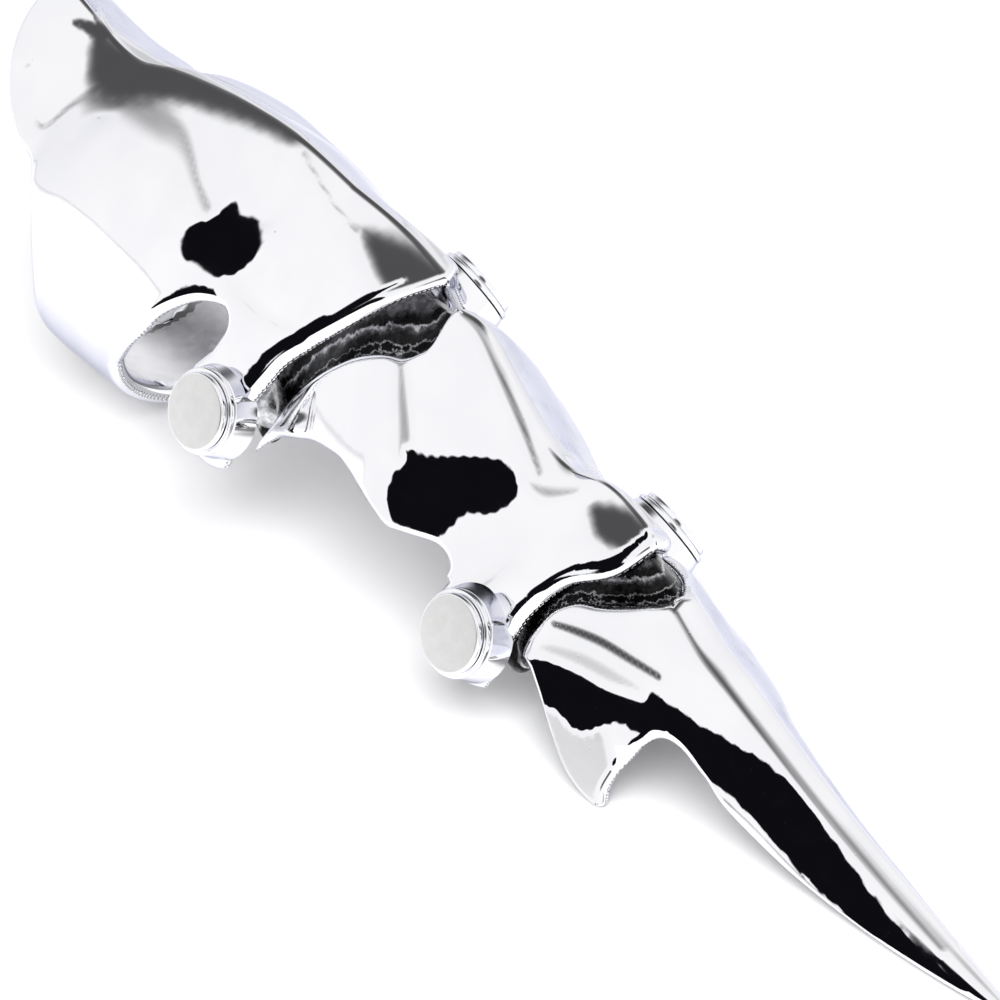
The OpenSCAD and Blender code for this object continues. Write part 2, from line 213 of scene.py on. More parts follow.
def unit(v: np.ndarray) -> np.ndarray:
    """Gives each row a length of one."""
    return v / np.maximum(np.linalg.norm(v, axis=-1, keepdims=True), 1e-12)


def ease(share: np.ndarray) -> np.ndarray:
    """Turns a straight run from 0 to 1 into one with soft ends."""
    u = np.clip(share, 0, 1)
    return u * u * (3 - 2 * u)


def share_along(near: np.ndarray, line: np.ndarray) -> tuple[np.ndarray, np.ndarray]:
    """Says how far along a line some places on it lie.

    Args:
        near: The places.
        line: The points of the line.

    Returns:
        The share of the line's length for each place, and for each point of the line.
    """
    lengths = np.linalg.norm(np.diff(line, axis=0), axis=1)
    run = np.concatenate([[0], np.cumsum(lengths)]) / lengths.sum()
    share, best = np.zeros(len(near)), np.full(len(near), 1e9)
    for i, (a, b) in enumerate(zip(line[:-1], line[1:])):
        d = b - a
        u = np.clip(((near - a) @ d) / max(d @ d, 1e-12), 0, 1)
        gap = ((near - a - u[:, None] * d) ** 2).sum(1)
        hit = gap < best
        best[hit] = gap[hit]
        share[hit] = run[i] + (run[i + 1] - run[i]) * u[hit]
    return share, run


@dataclass(frozen=True)
class HingeFrame:
    """The frame that the sections are drawn in: the first hinge is its origin.

    Lengths are in millimetres. The ring lies with its finger bore level, so this frame is
    tipped down towards the claw by the pitch.
    """

    pitch: float = 11.7
    bore_back: float = 19.4
    bore_drop: float = 6.1

    def placed(self, points: np.ndarray) -> np.ndarray:
        """Turns points from this frame into metres in the part's own frame."""
        return self.turned(points + np.array([self.bore_back, 0, self.bore_drop])) * MM

    def turned(self, v: np.ndarray) -> np.ndarray:
        """Turns directions from this frame into the part's own frame."""
        c, s = math.cos(math.radians(self.pitch)), math.sin(math.radians(self.pitch))
        return np.stack([v[..., 0] * c + v[..., 2] * s, v[..., 1], v[..., 2] * c - v[..., 0] * s], -1)


HINGES = HingeFrame()


# ---- finishes


class Nodes:
    """Adds nodes to a tree and keeps the calls short."""

    def __init__(self, tree: bpy.types.NodeTree) -> None:
        """Starts on a tree."""
        self.tree = tree

    def add(self, kind: str, **values: object) -> bpy.types.Node:
        """Adds a node.

        Args:
            kind: The node's type, without the leading ShaderNode.
            **values: Properties of the node, or numbers for its sockets.

        Returns:
            The new node.
        """
        node = self.tree.nodes.new("ShaderNode" + kind)
        for key, value in values.items():
            if hasattr(node, key):
                setattr(node, key, value)
            else:
                node.inputs[key.replace("_", " ")].default_value = value
        return node

    def join(self, source: object, target: object) -> None:
        """Joins one socket to another."""
        self.tree.links.new(source, target)

    def between(self, value: object, low: float, high: float, to_low: float, to_high: float) -> object:
        """Maps a value from one range to another, with soft ends.

        Args:
            value: The value's socket.
            low: Where the first range starts.
            high: Where it ends.
            to_low: Where the second range starts.
            to_high: Where it ends.

        Returns:
            The new value's socket.
        """
        node = self.add(
            "MapRange", interpolation_type="SMOOTHSTEP",
            From_Min=low, From_Max=high, To_Min=to_low, To_Max=to_high,
        )
        self.join(value, node.inputs["Value"])
        return node.outputs["Result"]

    def reckon(self, operation: str, *values: object) -> object:
        """Works out a value from sockets and numbers.

        Args:
            operation: The name of the sum.
            *values: The sockets and numbers.

        Returns:
            The result's socket.
        """
        node = self.add("Math", operation=operation)
        for socket, value in zip(node.inputs, values):
            if isinstance(value, (int, float)):
                socket.default_value = value
            else:
                self.join(value, socket)
        return node.outputs[0]

    def tint(self, value: object, dark: Colour, light: Colour) -> object:
        """Mixes two colours by a value.

        Args:
            value: The value's socket.
            dark: The colour at 0.
            light: The colour at 1.

        Returns:
            The colour's socket.
        """
        node = self.add("Mix", data_type="RGBA", A=(*dark, 1), B=(*light, 1))
        self.join(value, node.inputs["Factor"])
        return next(o for o in node.outputs if o.type == "RGBA")


class Recipe(Nodes):
    """Makes one node material."""

    def __init__(self, name: str, metal: bool = True) -> None:
        """Starts a material that holds only its shader and its output.

        Args:
            name: The material's name.
            metal: Whether it is a metal.
        """
        self.material = bpy.data.materials.new(name)
        self.material.use_nodes = True
        super().__init__(self.material.node_tree)
        self.shader = self.tree.nodes["Principled BSDF"]
        self.shader.inputs["Metallic"].default_value = float(metal)
        self.spot = self.place()

    def place(self, stretch: tuple[float, float, float] = (1, 1, 1)) -> object:
        """Gives the place on the object, stretched along its axes.

        Args:
            stretch: How much finer a pattern gets along each axis.

        Returns:
            The socket of the place.
        """
        mapping = self.add("Mapping", Scale=stretch)
        self.join(self.add("TexCoord").outputs["Object"], mapping.inputs["Vector"])
        return mapping.outputs["Vector"]

    def noise(self, scale: float, detail: float = 2.0, rough: float = 0.5, place: object = None) -> object:
        """Gives a noise value from 0 to 1 over the surface.

        Args:
            scale: How fine the noise is.
            detail: How many finer noises lie over it.
            rough: How strong these are.
            place: The place on the object, or None for the plain one.

        Returns:
            The value's socket.
        """
        node = self.add("TexNoise", Scale=scale, Detail=detail, Roughness=rough)
        self.join(place or self.spot, node.inputs["Vector"])
        return node.outputs["Fac"]

    def bump(self, height: object, rise: float, under: object = None) -> object:
        """Raises the surface by a height, in metres, over what lies under it.

        Args:
            height: The height's socket, from 0 to 1.
            rise: The height in metres at 1.
            under: The surface direction to start from, or None for the mesh's own.

        Returns:
            The socket of the surface direction.
        """
        node = self.add("Bump", Distance=rise, Strength=1.0)
        self.join(height, node.inputs["Height"])
        if under is not None:
            self.join(under, node.inputs["Normal"])
        return node.outputs["Normal"]

    def finish(self, colour: object, rough: object, normal: object) -> bpy.types.Material:
        """Joins the three to the shader, and gives the material.

        Args:
            colour: The colour's socket.
            rough: The roughness's socket.
            normal: The surface direction's socket.

        Returns:
            The material.
        """
        for source, socket in ((colour, "Base Color"), (rough, "Roughness"), (normal, "Normal")):
            if source is not None:
                self.join(source, self.shader.inputs[socket])
        return self.material


@dataclass(frozen=True)
class MirrorPolish:
    """Bright plated metal with faint polishing marks and a few pits."""

    name: str = "mirror_polish"
    light: Colour = (0.985, 0.985, 0.995)
    dark: Colour = (0.955, 0.955, 0.97)
    edge: Colour = (0.60, 0.61, 0.70)
    ripple: float = 1.6e-6
    grain: float = 0.5e-6
    pit: float = 2.5e-6

    def build(self) -> bpy.types.Material:
        """Makes the material.

        Returns:
            The material.
        """
        r = Recipe(self.name)
        r.shader.inputs["Specular Tint"].default_value = (*self.edge, 1)
        colour = r.tint(r.between(r.noise(160, 3), 0.35, 0.65, 0, 1), self.dark, self.light)
        rough = r.between(r.noise(420, 4), 0.4, 0.75, 0.035, 0.075)
        soft = r.bump(r.noise(1100, 1), self.ripple)
        fine = r.bump(r.noise(3200, 3, 0.65, r.place((1, 1, 2.6))), self.grain, soft)
        pits = r.add("TexVoronoi", Scale=900.0)
        r.join(r.spot, pits.inputs["Vector"])
        pitted = r.bump(r.between(pits.outputs["Distance"], 0.03, 0.09, 0, 1), self.pit, fine)
        return r.finish(colour, rough, pitted)


@dataclass(frozen=True)
class CastInside:
    """The inside of a shell as it left the mould: plated, but never polished."""

    name: str = "cast_inside"
    dark: Colour = (0.34, 0.34, 0.35)
    light: Colour = (0.86, 0.86, 0.87)
    lumps: float = 4e-5
    grain: float = 1.4e-5
    smoothest: float = 0.16
    roughest: float = 0.42

    def build(self) -> bpy.types.Material:
        """Makes the material.

        Returns:
            The material.
        """
        r = Recipe(self.name)
        colour = r.tint(r.between(r.noise(700, 5, 0.6), 0.4, 0.62, 0, 1), self.dark, self.light)
        rough = r.between(r.noise(1500, 3), 0.35, 0.7, self.smoothest, self.roughest)
        lumps = r.bump(r.noise(620, 4, 0.6), self.lumps)
        return r.finish(colour, rough, r.bump(r.noise(2600, 4, 0.7), self.grain, lumps))


@dataclass(frozen=True)
class ShadedTongue:
    """The cast face of a tongue, painted near black as shade, with painted highlight lines that follow the
    rim beside it.
    """

    name: str = "shaded_tongue"
    # Painted shade and painted highlight lines: how far from the rim, in millimetres, and how light
    lines: tuple[Point, ...] = (
        (0.0, 0.008), (0.20, 0.008), (0.26, 0.50), (0.34, 0.02), (0.95, 0.03), (1.20, 0.16),
        (1.32, 0.62), (1.42, 0.55), (1.52, 0.02), (2.0, 0.02), (2.4, 0.16), (3.0, 0.22),
    )
    reach: float = 3.0
    jagged: float = 0.55
    # The blue of a painted highlight line is a little stronger than its red and green
    cold: float = 1.03
    mottle: Colour = (0.45, 0.45, 0.46)
    lumps: float = 3e-5
    grain: float = 1.6e-5

    def build(self) -> bpy.types.Material:
        """Makes the material.

        Returns:
            The material.
        """
        r = Recipe(self.name)
        mark = r.add("Attribute", attribute_name=FROM_RIM).outputs["Fac"]
        wander = r.between(r.noise(900, 5, 0.7), 0.25, 0.75, -self.jagged / 2, self.jagged / 2)
        # painted shade, near black, with painted highlight lines at set distances from the rim
        ramp = r.add("ValToRGB")
        r.join(r.reckon("DIVIDE", r.reckon("ADD", mark, wander), self.reach), ramp.inputs["Fac"])
        stops = ramp.color_ramp.elements
        while len(stops) < len(self.lines):
            stops.new(0.5)
        for stop, (far, light) in zip(stops, self.lines):
            stop.position, stop.color = far / self.reach, (light, light, light * self.cold, 1)
        both = r.add("Mix", data_type="RGBA", blend_type="MULTIPLY", Factor=1.0)
        mottle = r.between(r.noise(1700, 5, 0.65), 0.36, 0.66, 0, 1)
        r.join(ramp.outputs["Color"], both.inputs["A"])
        r.join(r.tint(mottle, self.mottle, (1.0, 1.0, 1.0)), both.inputs["B"])
        colour = next(o for o in both.outputs if o.type == "RGBA")
        rough = r.between(r.noise(1500, 3), 0.35, 0.7, 0.18, 0.45)
        lumps = r.bump(r.noise(900, 4, 0.6), self.lumps)
        return r.finish(colour, rough, r.bump(r.noise(2900, 4, 0.7), self.grain, lumps))


@dataclass(frozen=True)
class FacedRivet:
    """The face of a rivet: ground flat, satin, and a little mottled."""

    name: str = "faced_rivet"
    dark: Colour = (0.80, 0.80, 0.785)
    light: Colour = (0.84, 0.84, 0.825)
    marks: float = 0.4e-6

    def build(self) -> bpy.types.Material:
        """Makes the material.

        Returns:
            The material.
        """
        r = Recipe(self.name)
        colour = r.tint(r.between(r.noise(900, 5, 0.65), 0.36, 0.64, 0, 1), self.dark, self.light)
        rough = r.between(r.noise(2400, 3), 0.3, 0.7, 0.36, 0.42)
        return r.finish(colour, rough, r.bump(r.noise(2600, 3, place=r.place((1, 1, 5))), self.marks))


@dataclass(frozen=True)
class Finishes:
    """All the finishes, made once."""

    polish: bpy.types.Material
    inside: bpy.types.Material
    worn: bpy.types.Material
    shaded: bpy.types.Material
    face: bpy.types.Material

    @classmethod
    def made(cls) -> "Finishes":
        """Makes every finish.

        Returns:
            The finishes.
        """
        worn = CastInside("worn_inside", (0.90, 0.90, 0.93), (0.96, 0.96, 0.98), 2e-6, 4e-7, 0.34, 0.40)
        inside, shaded = CastInside().build(), ShadedTongue().build()
        return cls(MirrorPolish().build(), inside, worn.build(), shaded, FacedRivet().build())


# ---- meshes


def mesh_object(
    name: str,
    points: np.ndarray,
    faces: np.ndarray | list,
    normals: np.ndarray | None,
    materials: list[bpy.types.Material],
    slots: np.ndarray | None = None,
) -> bpy.types.Object:
    """Makes a smooth mesh object.

    Args:
        name: The object's name.
        points: Its points, in metres in the part's frame.
        faces: Its faces, as rows of point numbers.
        normals: A direction for each point, or None to take them from the faces.
        materials: Its materials.
        slots: The material number of each face, or None for the first.

    Returns:
        The object, linked to the scene.
    """
    mesh = bpy.data.meshes.new(name)
    mesh.from_pydata(points.tolist(), [], [list(map(int, f)) for f in faces])
    for material in materials:
        mesh.materials.append(material)
    if slots is not None:
        mesh.polygons.foreach_set("material_index", np.asarray(slots, np.int32))
    mesh.shade_smooth()
    mesh.update()
    if normals is not None:
        mesh.normals_split_custom_set_from_vertices(normals.tolist())
    made = bpy.data.objects.new(name, mesh)
    bpy.context.scene.collection.objects.link(made)
    return made


def fitted(made: bpy.types.Object, body: Body, node: str = "") -> bpy.types.Object:
    """Puts a piece on its body, in place of its node's solid if it has one.

    Args:
        made: The piece.
        body: The body that it moves with.
        node: The node that it stands for, if it stands for one.

    Returns:
        The same piece.
    """
    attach(made, body.value)
    if node:
        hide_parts(node)
    return made


def joined(parts: list[tuple[np.ndarray, list]]) -> tuple[np.ndarray, list]:
    """Joins several meshes into one set of points and faces.

    Args:
        parts: The meshes, each as its points and faces.

    Returns:
        The points, and the faces as rows of their numbers.
    """
    faces, count = [], 0
    for points, own in parts:
        faces += [tuple(i + count for i in f) for f in own]
        count += len(points)
    return np.concatenate([points for points, _ in parts]), faces


@dataclass
class Lathe:
    """A round piece turned from a profile of (radius, height) points in millimetres."""

    profile: list[Point]
    turns: int = 96

    def rounded(self, corner: float, steps: int = 5) -> np.ndarray:
        """Rounds the profile's corners.

        Args:
            corner: The largest radius of a corner.
            steps: How many pieces each corner is made of.

        Returns:
            The finer profile.
        """
        p = np.array(self.profile, float)
        made = [p[0]]
        for a, b, c in zip(p[:-2], p[1:-1], p[2:]):
            cut = min(corner, CORNER_SHARE * np.linalg.norm(b - a), CORNER_SHARE * np.linalg.norm(c - b))
            start, end = b + unit(a - b) * cut, b + unit(c - b) * cut
            for k in range(steps + 1):
                u = k / steps
                made.append((1 - u) ** 2 * start + 2 * u * (1 - u) * b + u * u * end)
        made.append(p[-1])
        return np.array(made)

    def mesh(self, origin: np.ndarray, axis: np.ndarray, corner: float = 0.12) -> tuple[np.ndarray, list]:
        """Turns the profile about an axis.

        Args:
            origin: The point on the axis at height zero.
            axis: The direction of growing height.
            corner: The radius of its corners.

        Returns:
            The points in the hinge frame, and the faces.
        """
        line = self.rounded(corner)
        axis = unit(np.array(axis, float))
        side = unit(np.cross(axis, [1.0, 0.0, 0.0]))
        other = np.cross(axis, side)
        angles = np.linspace(0, 2 * math.pi, self.turns, endpoint=False)
        around = np.cos(angles)[:, None] * side + np.sin(angles)[:, None] * other
        points = np.concatenate([origin + r * around + h * axis for r, h in line])
        n = self.turns
        faces = [
            (i * n + j, i * n + (j + 1) % n, (i + 1) * n + (j + 1) % n, (i + 1) * n + j)
            for i in range(len(line) - 1)
            for j in range(n)
        ]
        return points, faces


# ---- relief and polish


@dataclass
class Crease:
    """A line of relief pressed into a shell, drawn on its flank.

    The path is a list of (x, s): the place along the shell and the distance from the ridge
    down the flank, in millimetres. The line runs out over a share of its length at each end.
    """

    path: tuple[Point, ...]
    depth: float
    width: float
    run_out: float = 0.15

    def relief(self, x: np.ndarray, s: np.ndarray) -> np.ndarray:
        """Gives the depth of the line at each place.

        Args:
            x: Places along the shell.
            s: Distances down from the ridge.

        Returns:
            The depths, in millimetres.
        """
        line = smooth(np.array(self.path, float), 4)
        far, near = distance_to(np.stack([x, s], 1), line[:-1], line[1:])
        at, _ = share_along(near, line)
        return self.depth * ease(np.minimum(at, 1 - at) / self.run_out) * np.exp(-((far / self.width) ** 2))


@dataclass(frozen=True)
class Facet:
    """A stretch of the polished metal that the wheel has flattened, so that it faces one way.

    The path is a list of (x, s, half width), in millimetres like a crease's. The direction is
    in the hinge frame, for the near flank.
    """

    path: Rows
    towards: Direction
    strength: float = 1.0
    soft: float = 0.8

    def share(self, x: np.ndarray, s: np.ndarray, _: Pieces) -> np.ndarray:
        """Gives how far each place has been turned to the facet's direction, from 0 to 1.

        Args:
            x: Places along the shell.
            s: Distances down from the ridge.
            _: The rim, which isn't needed here.

        Returns:
            Shares from 0 to 1.
        """
        line = smooth(np.array(self.path, float), 4)
        far, near = distance_to(np.stack([x, s], 1), line[:-1, :2], line[1:, :2])
        at, run = share_along(near, line[:, :2])
        width = np.interp(at, run, line[:, 2])
        return self.strength * ease((width + self.soft - far) / (2 * self.soft))


@dataclass(frozen=True)
class Patch:
    """A patch of the polished metal inside a closed outline that all faces one way.

    The outline is a list of (x, s), in millimetres like a crease's. Its border wavers by up to
    the ragged width. The direction is in the hinge frame, for the near flank.
    """

    outline: tuple[Point, ...]
    towards: Direction
    strength: float = 1.0
    soft: float = 0.3
    ragged: float = 0.0
    # Waves of the border: size, turns per millimetre of x and of s, and start
    waves: Rows = ((1.0, 2.3, 1.1, 0.0), (0.9, -2.9, 4.7, 1.3), (0.5, 6.1, 5.3, 0.0))
    highest: float = 2.7

    def share(self, x: np.ndarray, s: np.ndarray, _: Pieces) -> np.ndarray:
        """Gives how far each place has been turned to the patch's direction, from 0 to 1.

        Args:
            x: Places along the shell.
            s: Distances down from the ridge.
            _: The rim, which isn't needed here.

        Returns:
            Shares from 0 to 1.
        """
        count = len(self.outline)
        loop = smooth(np.array(self.outline * 3, float), 4)[4 * count : 8 * count]
        spots = np.stack([x, s], 1)
        far, _ = distance_to(spots, loop, np.roll(loop, -1, axis=0))
        depth = np.where(inside(spots, loop), far, -far)
        wave = sum(size * np.sin(by_x * x + by_s * s + start) for size, by_x, by_s, start in self.waves)
        return self.strength * ease(
            (depth + self.ragged * wave / self.highest + self.soft) / (2 * self.soft)
        )


@dataclass(frozen=True)
class RimLine:
    """A narrow line of polished metal along a rim that faces one way.

    Lengths are in millimetres: how far the line lies from the rim, give or take the sway, and
    between which x. It runs out over the last stretch at both ends.
    """

    gap: float
    half_width: float
    within: Point
    towards: Direction
    strength: float = 1.0
    soft: float = 0.2
    sway: float = 0.12
    run_out: float = 0.6

    def share(self, x: np.ndarray, s: np.ndarray, rim: Pieces) -> np.ndarray:
        """Gives how far each place has been turned to the line's direction, from 0 to 1.

        Args:
            x: Places along the shell.
            s: Distances down from the ridge.
            rim: The starts and ends of the rim's straight pieces, as (x, s).

        Returns:
            Shares from 0 to 1.
        """
        far, near = distance_to(np.stack([x, s], 1), *rim)
        gap = self.gap * (1 + self.sway * np.sin(1.9 * x + 0.7 * s))
        share = ease((self.half_width + self.soft - np.abs(far - gap)) / (2 * self.soft))
        for length in (near[:, 0] - self.within[0], self.within[1] - near[:, 0]):
            share = share * np.clip(length / self.run_out, 0, 1)
        return self.strength * share


# Which way a patch faces to show the dark, the grey, the pale or the light surroundings
TO_DARK = (0.17, -0.84, 0.52)
TO_GREY = (-0.16, -0.17, 0.97)
TO_PALE = (-0.15, -0.44, 0.885)
TO_LIGHT = (-0.08, -0.82, 0.56)


@dataclass
class Shell:
    """A cast shell: a sheet over its sections, trimmed by a side outline, with round rims.

    Lengths are in millimetres in the hinge frame, and the tables hold shares of them.
    """

    name: str
    body: Body
    start: float
    end: float
    node: str = ""
    wall: float = 1.5
    # The mesh's steps: between grid points, along the rim, and the closest two rim points
    grid: float = 0.36
    rim_step: float = 0.3
    closest: float = 0.06
    clear_of_seam: float = 0.22
    # Room that a point leaves: a rim row's as a share of its gap, a grid point's of the grid
    row_room: float = 0.93
    grid_room: float = 0.35
    # Whether the rim is drawn in, so that the inner edge too stays inside the side outline
    tucked: bool = False
    # The rows of points around the rim's half round, in degrees, and the polished rim in walls
    rim_turns: tuple[int, ...] = (72, 54, 36, 18, 0)
    polished_rim: float = 0.75
    # How finely the sections are charted
    stations: int = 260
    steps_over: int = 241
    steps_under: int = 91
    halvings: int = 26
    relief: list = field(default_factory=list)
    facets: list = field(default_factory=list)

    def form(self, x: np.ndarray) -> tuple[np.ndarray, ...]:
        """Gives half width, spring height, ridge, belly, fullness and crown at each x."""
        raise NotImplementedError

    def outline(self) -> np.ndarray:
        """Gives the side outline, as a closed loop of (x, z)."""
        raise NotImplementedError

    def hollow(self, x: np.ndarray, z: np.ndarray) -> np.ndarray:
        """Gives how far the flank is pressed in at each place of the side view."""
        raise NotImplementedError

    # -- the surface

    def point(self, x: np.ndarray, angle: np.ndarray) -> np.ndarray:
        """Gives the near flank's points at places and section angles (radians).

        Args:
            x: Places along the shell.
            angle: Section angles, in radians.

        Returns:
            The points, in the hinge frame.
        """
        over = angle > math.pi / 2
        a = np.where(over, math.pi - angle, angle)
        w, spring, ridge, belly, full, crown = self.form(x)
        q = np.sin(a)
        up = np.clip(q, 0, 1)
        y = np.where(a >= 0, w * np.maximum(1 - up**full, 0) ** crown, w * np.cos(a))
        z = np.where(a >= 0, spring + (ridge - spring) * q, spring + belly * q)
        y = y - self.hollow(x, z) * y / w
        return np.stack([x, np.where(over, y, -y), z], -1)

    def chart(self) -> None:
        """Works out the distance down each section from the ridge."""
        self.xs = np.linspace(self.start - 1.0, self.end + 1.0, self.stations)
        # the steps are finest at the ridge, where a section bends most
        over = 90 - 90 * np.linspace(0, 1, self.steps_over) ** 1.6
        self.angles = np.radians(np.concatenate([over, np.linspace(0, -90, self.steps_under)[1:]]))
        gx, ga = np.meshgrid(self.xs, self.angles, indexing="ij")
        p = self.point(gx.ravel(), ga.ravel()).reshape(len(self.xs), len(self.angles), 3)
        steps = np.linalg.norm(np.diff(p, axis=1), axis=2)
        self.runs = np.concatenate([np.zeros((len(self.xs), 1)), np.cumsum(steps, 1)], 1)

    def run_of(self, x: np.ndarray, angle: np.ndarray) -> np.ndarray:
        """Gives the distance down from the ridge at section angles.

        Args:
            x: Places along the shell.
            angle: Their section angles, in radians.

        Returns:
            The distances, in millimetres.
        """
        i = np.clip((x - self.xs[0]) / (self.xs[1] - self.xs[0]), 0, len(self.xs) - 1.001)
        k = i.astype(int)
        order = np.arange(len(self.angles))
        j = np.interp(-angle, -self.angles, order)
        m = np.minimum(j.astype(int), len(order) - 2)
        u, v = i - k, j - m
        behind = self.runs[k, m] * (1 - v) + self.runs[k, m + 1] * v
        ahead = self.runs[k + 1, m] * (1 - v) + self.runs[k + 1, m + 1] * v
        return behind * (1 - u) + ahead * u

    def angle_of(self, x: np.ndarray, s: np.ndarray) -> np.ndarray:
        """Gives the section angle at distances down from the ridge.

        Args:
            x: Places along the shell.
            s: Distances down from the ridge.

        Returns:
            The angles, in radians.
        """
        low = np.full(len(x), -math.pi / 2)
        high = np.full(len(x), math.pi / 2)
        for _ in range(self.halvings):
            mid = (low + high) / 2
            under = self.run_of(x, mid) > s
            low = np.where(under, mid, low)
            high = np.where(under, high, mid)
        return (low + high) / 2

    def angle_at(self, x: np.ndarray, z: np.ndarray) -> np.ndarray:
        """Gives the section angle at places of the side view.

        Args:
            x: Places along the shell.
            z: Heights.

        Returns:
            The angles, in radians.
        """
        _, spring, ridge, belly, _, _ = self.form(x)
        q = np.where(z >= spring, (z - spring) / np.maximum(ridge - spring, 1e-6), (z - spring) / belly)
        return np.arcsin(np.clip(q, -1, 1))

    def depth_at(self, x: np.ndarray, s: np.ndarray) -> np.ndarray:
        """Adds up the relief at each place."""
        return sum((line.relief(x, s) for line in self.relief), np.zeros(len(x)))

    def lie(self, x: np.ndarray, s: np.ndarray, angle: np.ndarray) -> Three:
        """Feels how the plain outer surface lies at each place.

        Args:
            x: Places along the shell.
            s: Distances down from the ridge.
            angle: The same places as section angles.

        Returns:
            The directions ahead, down the section and outward.
        """
        ahead = (self.point(x + TOUCH, angle) - self.point(x - TOUCH, angle)) / (2 * TOUCH)
        low, high = self.angle_of(x, s + TOUCH), self.angle_of(x, np.maximum(s - TOUCH, 0))
        high = np.where(s < TOUCH, math.pi - self.angle_of(x, TOUCH - s), high)
        down = unit(self.point(x, low) - self.point(x, high))
        out = unit(np.cross(down, ahead))
        return ahead, down, np.where(out[:, 1:2] > 0.02, -out, out)

    def skin(self, x: np.ndarray, s: np.ndarray, angle: np.ndarray) -> Three:
        """Gives the outer surface and its directions, with all the relief.

        Args:
            x: Places along the shell.
            s: Distances down from the ridge.
            angle: The same places as section angles.

        Returns:
            The points, the directions square to the metal, and those as the polish turns them.
        """
        p = self.point(x, angle)
        ahead, down, out = self.lie(x, s, angle)
        if self.relief:
            depth = self.depth_at(x, s)
            dx = (self.depth_at(x + TOUCH, s) - self.depth_at(x - TOUCH, s)) / (2 * TOUCH)
            ds = (self.depth_at(x, s + TOUCH) - self.depth_at(x, np.abs(s - TOUCH))) / (2 * TOUCH)
            # x steps keep s here, so the step along x is taken square to the section
            forward = unit(ahead - (ahead * down).sum(1, keepdims=True) * down)
            tilt = unit(out + dx[:, None] * forward + ds[:, None] * down)
            p, out = p - depth[:, None] * out, tilt
        square = out
        for facet in self.facets:
            share = facet.share(x, s, self.rim_pieces)[:, None]
            out = unit(out * (1 - share) + unit(np.array(facet.towards)) * share)
        # on the ridge every direction lies in the middle plane
        upright = np.where((s < 1e-6)[:, None], [1, 0, 1], [1, 1, 1])
        return p, unit(square * upright), unit(out * upright)

    # -- the trimmed sheet

    def domain(self) -> tuple[np.ndarray, np.ndarray]:
        """Maps the side outline onto the flank.

        Returns:
            The loop of (x, s), and which of its points lie on a rim.
        """
        loop = spaced(self.outline(), self.rim_step)
        if self.tucked:
            loop = self.tuck(loop)
        x = loop[:, 0]
        angle = self.angle_at(x, loop[:, 1])
        flat = np.stack([x, self.run_of(x, angle)], 1)
        rim = np.abs(angle) < math.pi / 2 - 1e-6
        keep = [0]
        for i in range(1, len(flat)):
            if np.linalg.norm(flat[i] - flat[keep[-1]]) > self.closest:
                keep.append(i)
        if np.linalg.norm(flat[keep[-1]] - flat[0]) < self.closest:
            keep.pop()
        loop, rim = flat[keep], rim[keep]
        bare = rim | np.roll(rim, -1)
        self.rim_pieces = (loop[bare], np.roll(loop, -1, axis=0)[bare])
        return loop, rim

    def tuck(self, loop: np.ndarray) -> np.ndarray:
        """Draws the side outline in where the metal's inner edge would pass it.

        Args:
            loop: The outline.

        Returns:
            The outline as drawn in.
        """
        angle = self.angle_at(loop[:, 0], loop[:, 1])
        _, _, out = self.lie(loop[:, 0], self.run_of(loop[:, 0], angle), angle)
        along = unit(np.roll(loop, -3, axis=0) - np.roll(loop, 3, axis=0))
        outward = np.stack([along[:, 1], -along[:, 0]], 1) * self.sense(loop)
        past = np.clip(-self.wall * (out[:, [0, 2]] * outward).sum(1), 0, self.wall)
        # evened out over the neighbours, so that the line stays smooth
        past = np.mean([np.roll(past, k) for k in range(-4, 5)], axis=0)
        return loop - outward * past[:, None]

    def filling(self, loop: np.ndarray, rim: np.ndarray) -> np.ndarray:
        """Chooses the points inside the outline: rows along the rim and a grid between.

        Args:
            loop: The outline.
            rim: Which of its points lie on a rim.

        Returns:
            The points.
        """
        radius = self.wall / 2
        after = np.roll(loop, -1, axis=0)
        on_rim = rim | np.roll(rim, -1)
        starts, ends = loop[on_rim], after[on_rim]
        along = unit(after - np.roll(loop, 1, axis=0))
        inward = np.stack([-along[:, 1], along[:, 0]], 1) * self.sense(loop)
        rows = []
        for turn in self.rim_turns:
            gap = radius * (1 - math.sin(math.radians(turn)))
            row = (loop + inward * gap)[rim]
            far, _ = distance_to(row, starts, ends)
            # where the outline bends in sharply, a row would cross itself
            rows.append(row[far > self.row_room * gap])
        low, high = loop.min(0), loop.max(0)
        cell = self.grid * np.array([1, TRIANGLE_ROW])
        nx, ny = ((high - low) / cell).astype(int)
        gx, gy = np.meshgrid(np.arange(nx + 2), np.arange(ny + 2))
        cells = low + np.stack([gx + 0.5 * (gy % 2), gy], -1).reshape(-1, 2) * cell
        cells = cells[inside(cells, loop)]
        far, _ = distance_to(cells, starts, ends)
        made = np.concatenate([*rows, cells[far > radius + self.grid_room * self.grid]])
        made = made[inside(made, loop)]
        if on_rim.all():
            return made
        far, _ = distance_to(made, loop[~on_rim], after[~on_rim])
        return made[far > self.clear_of_seam]

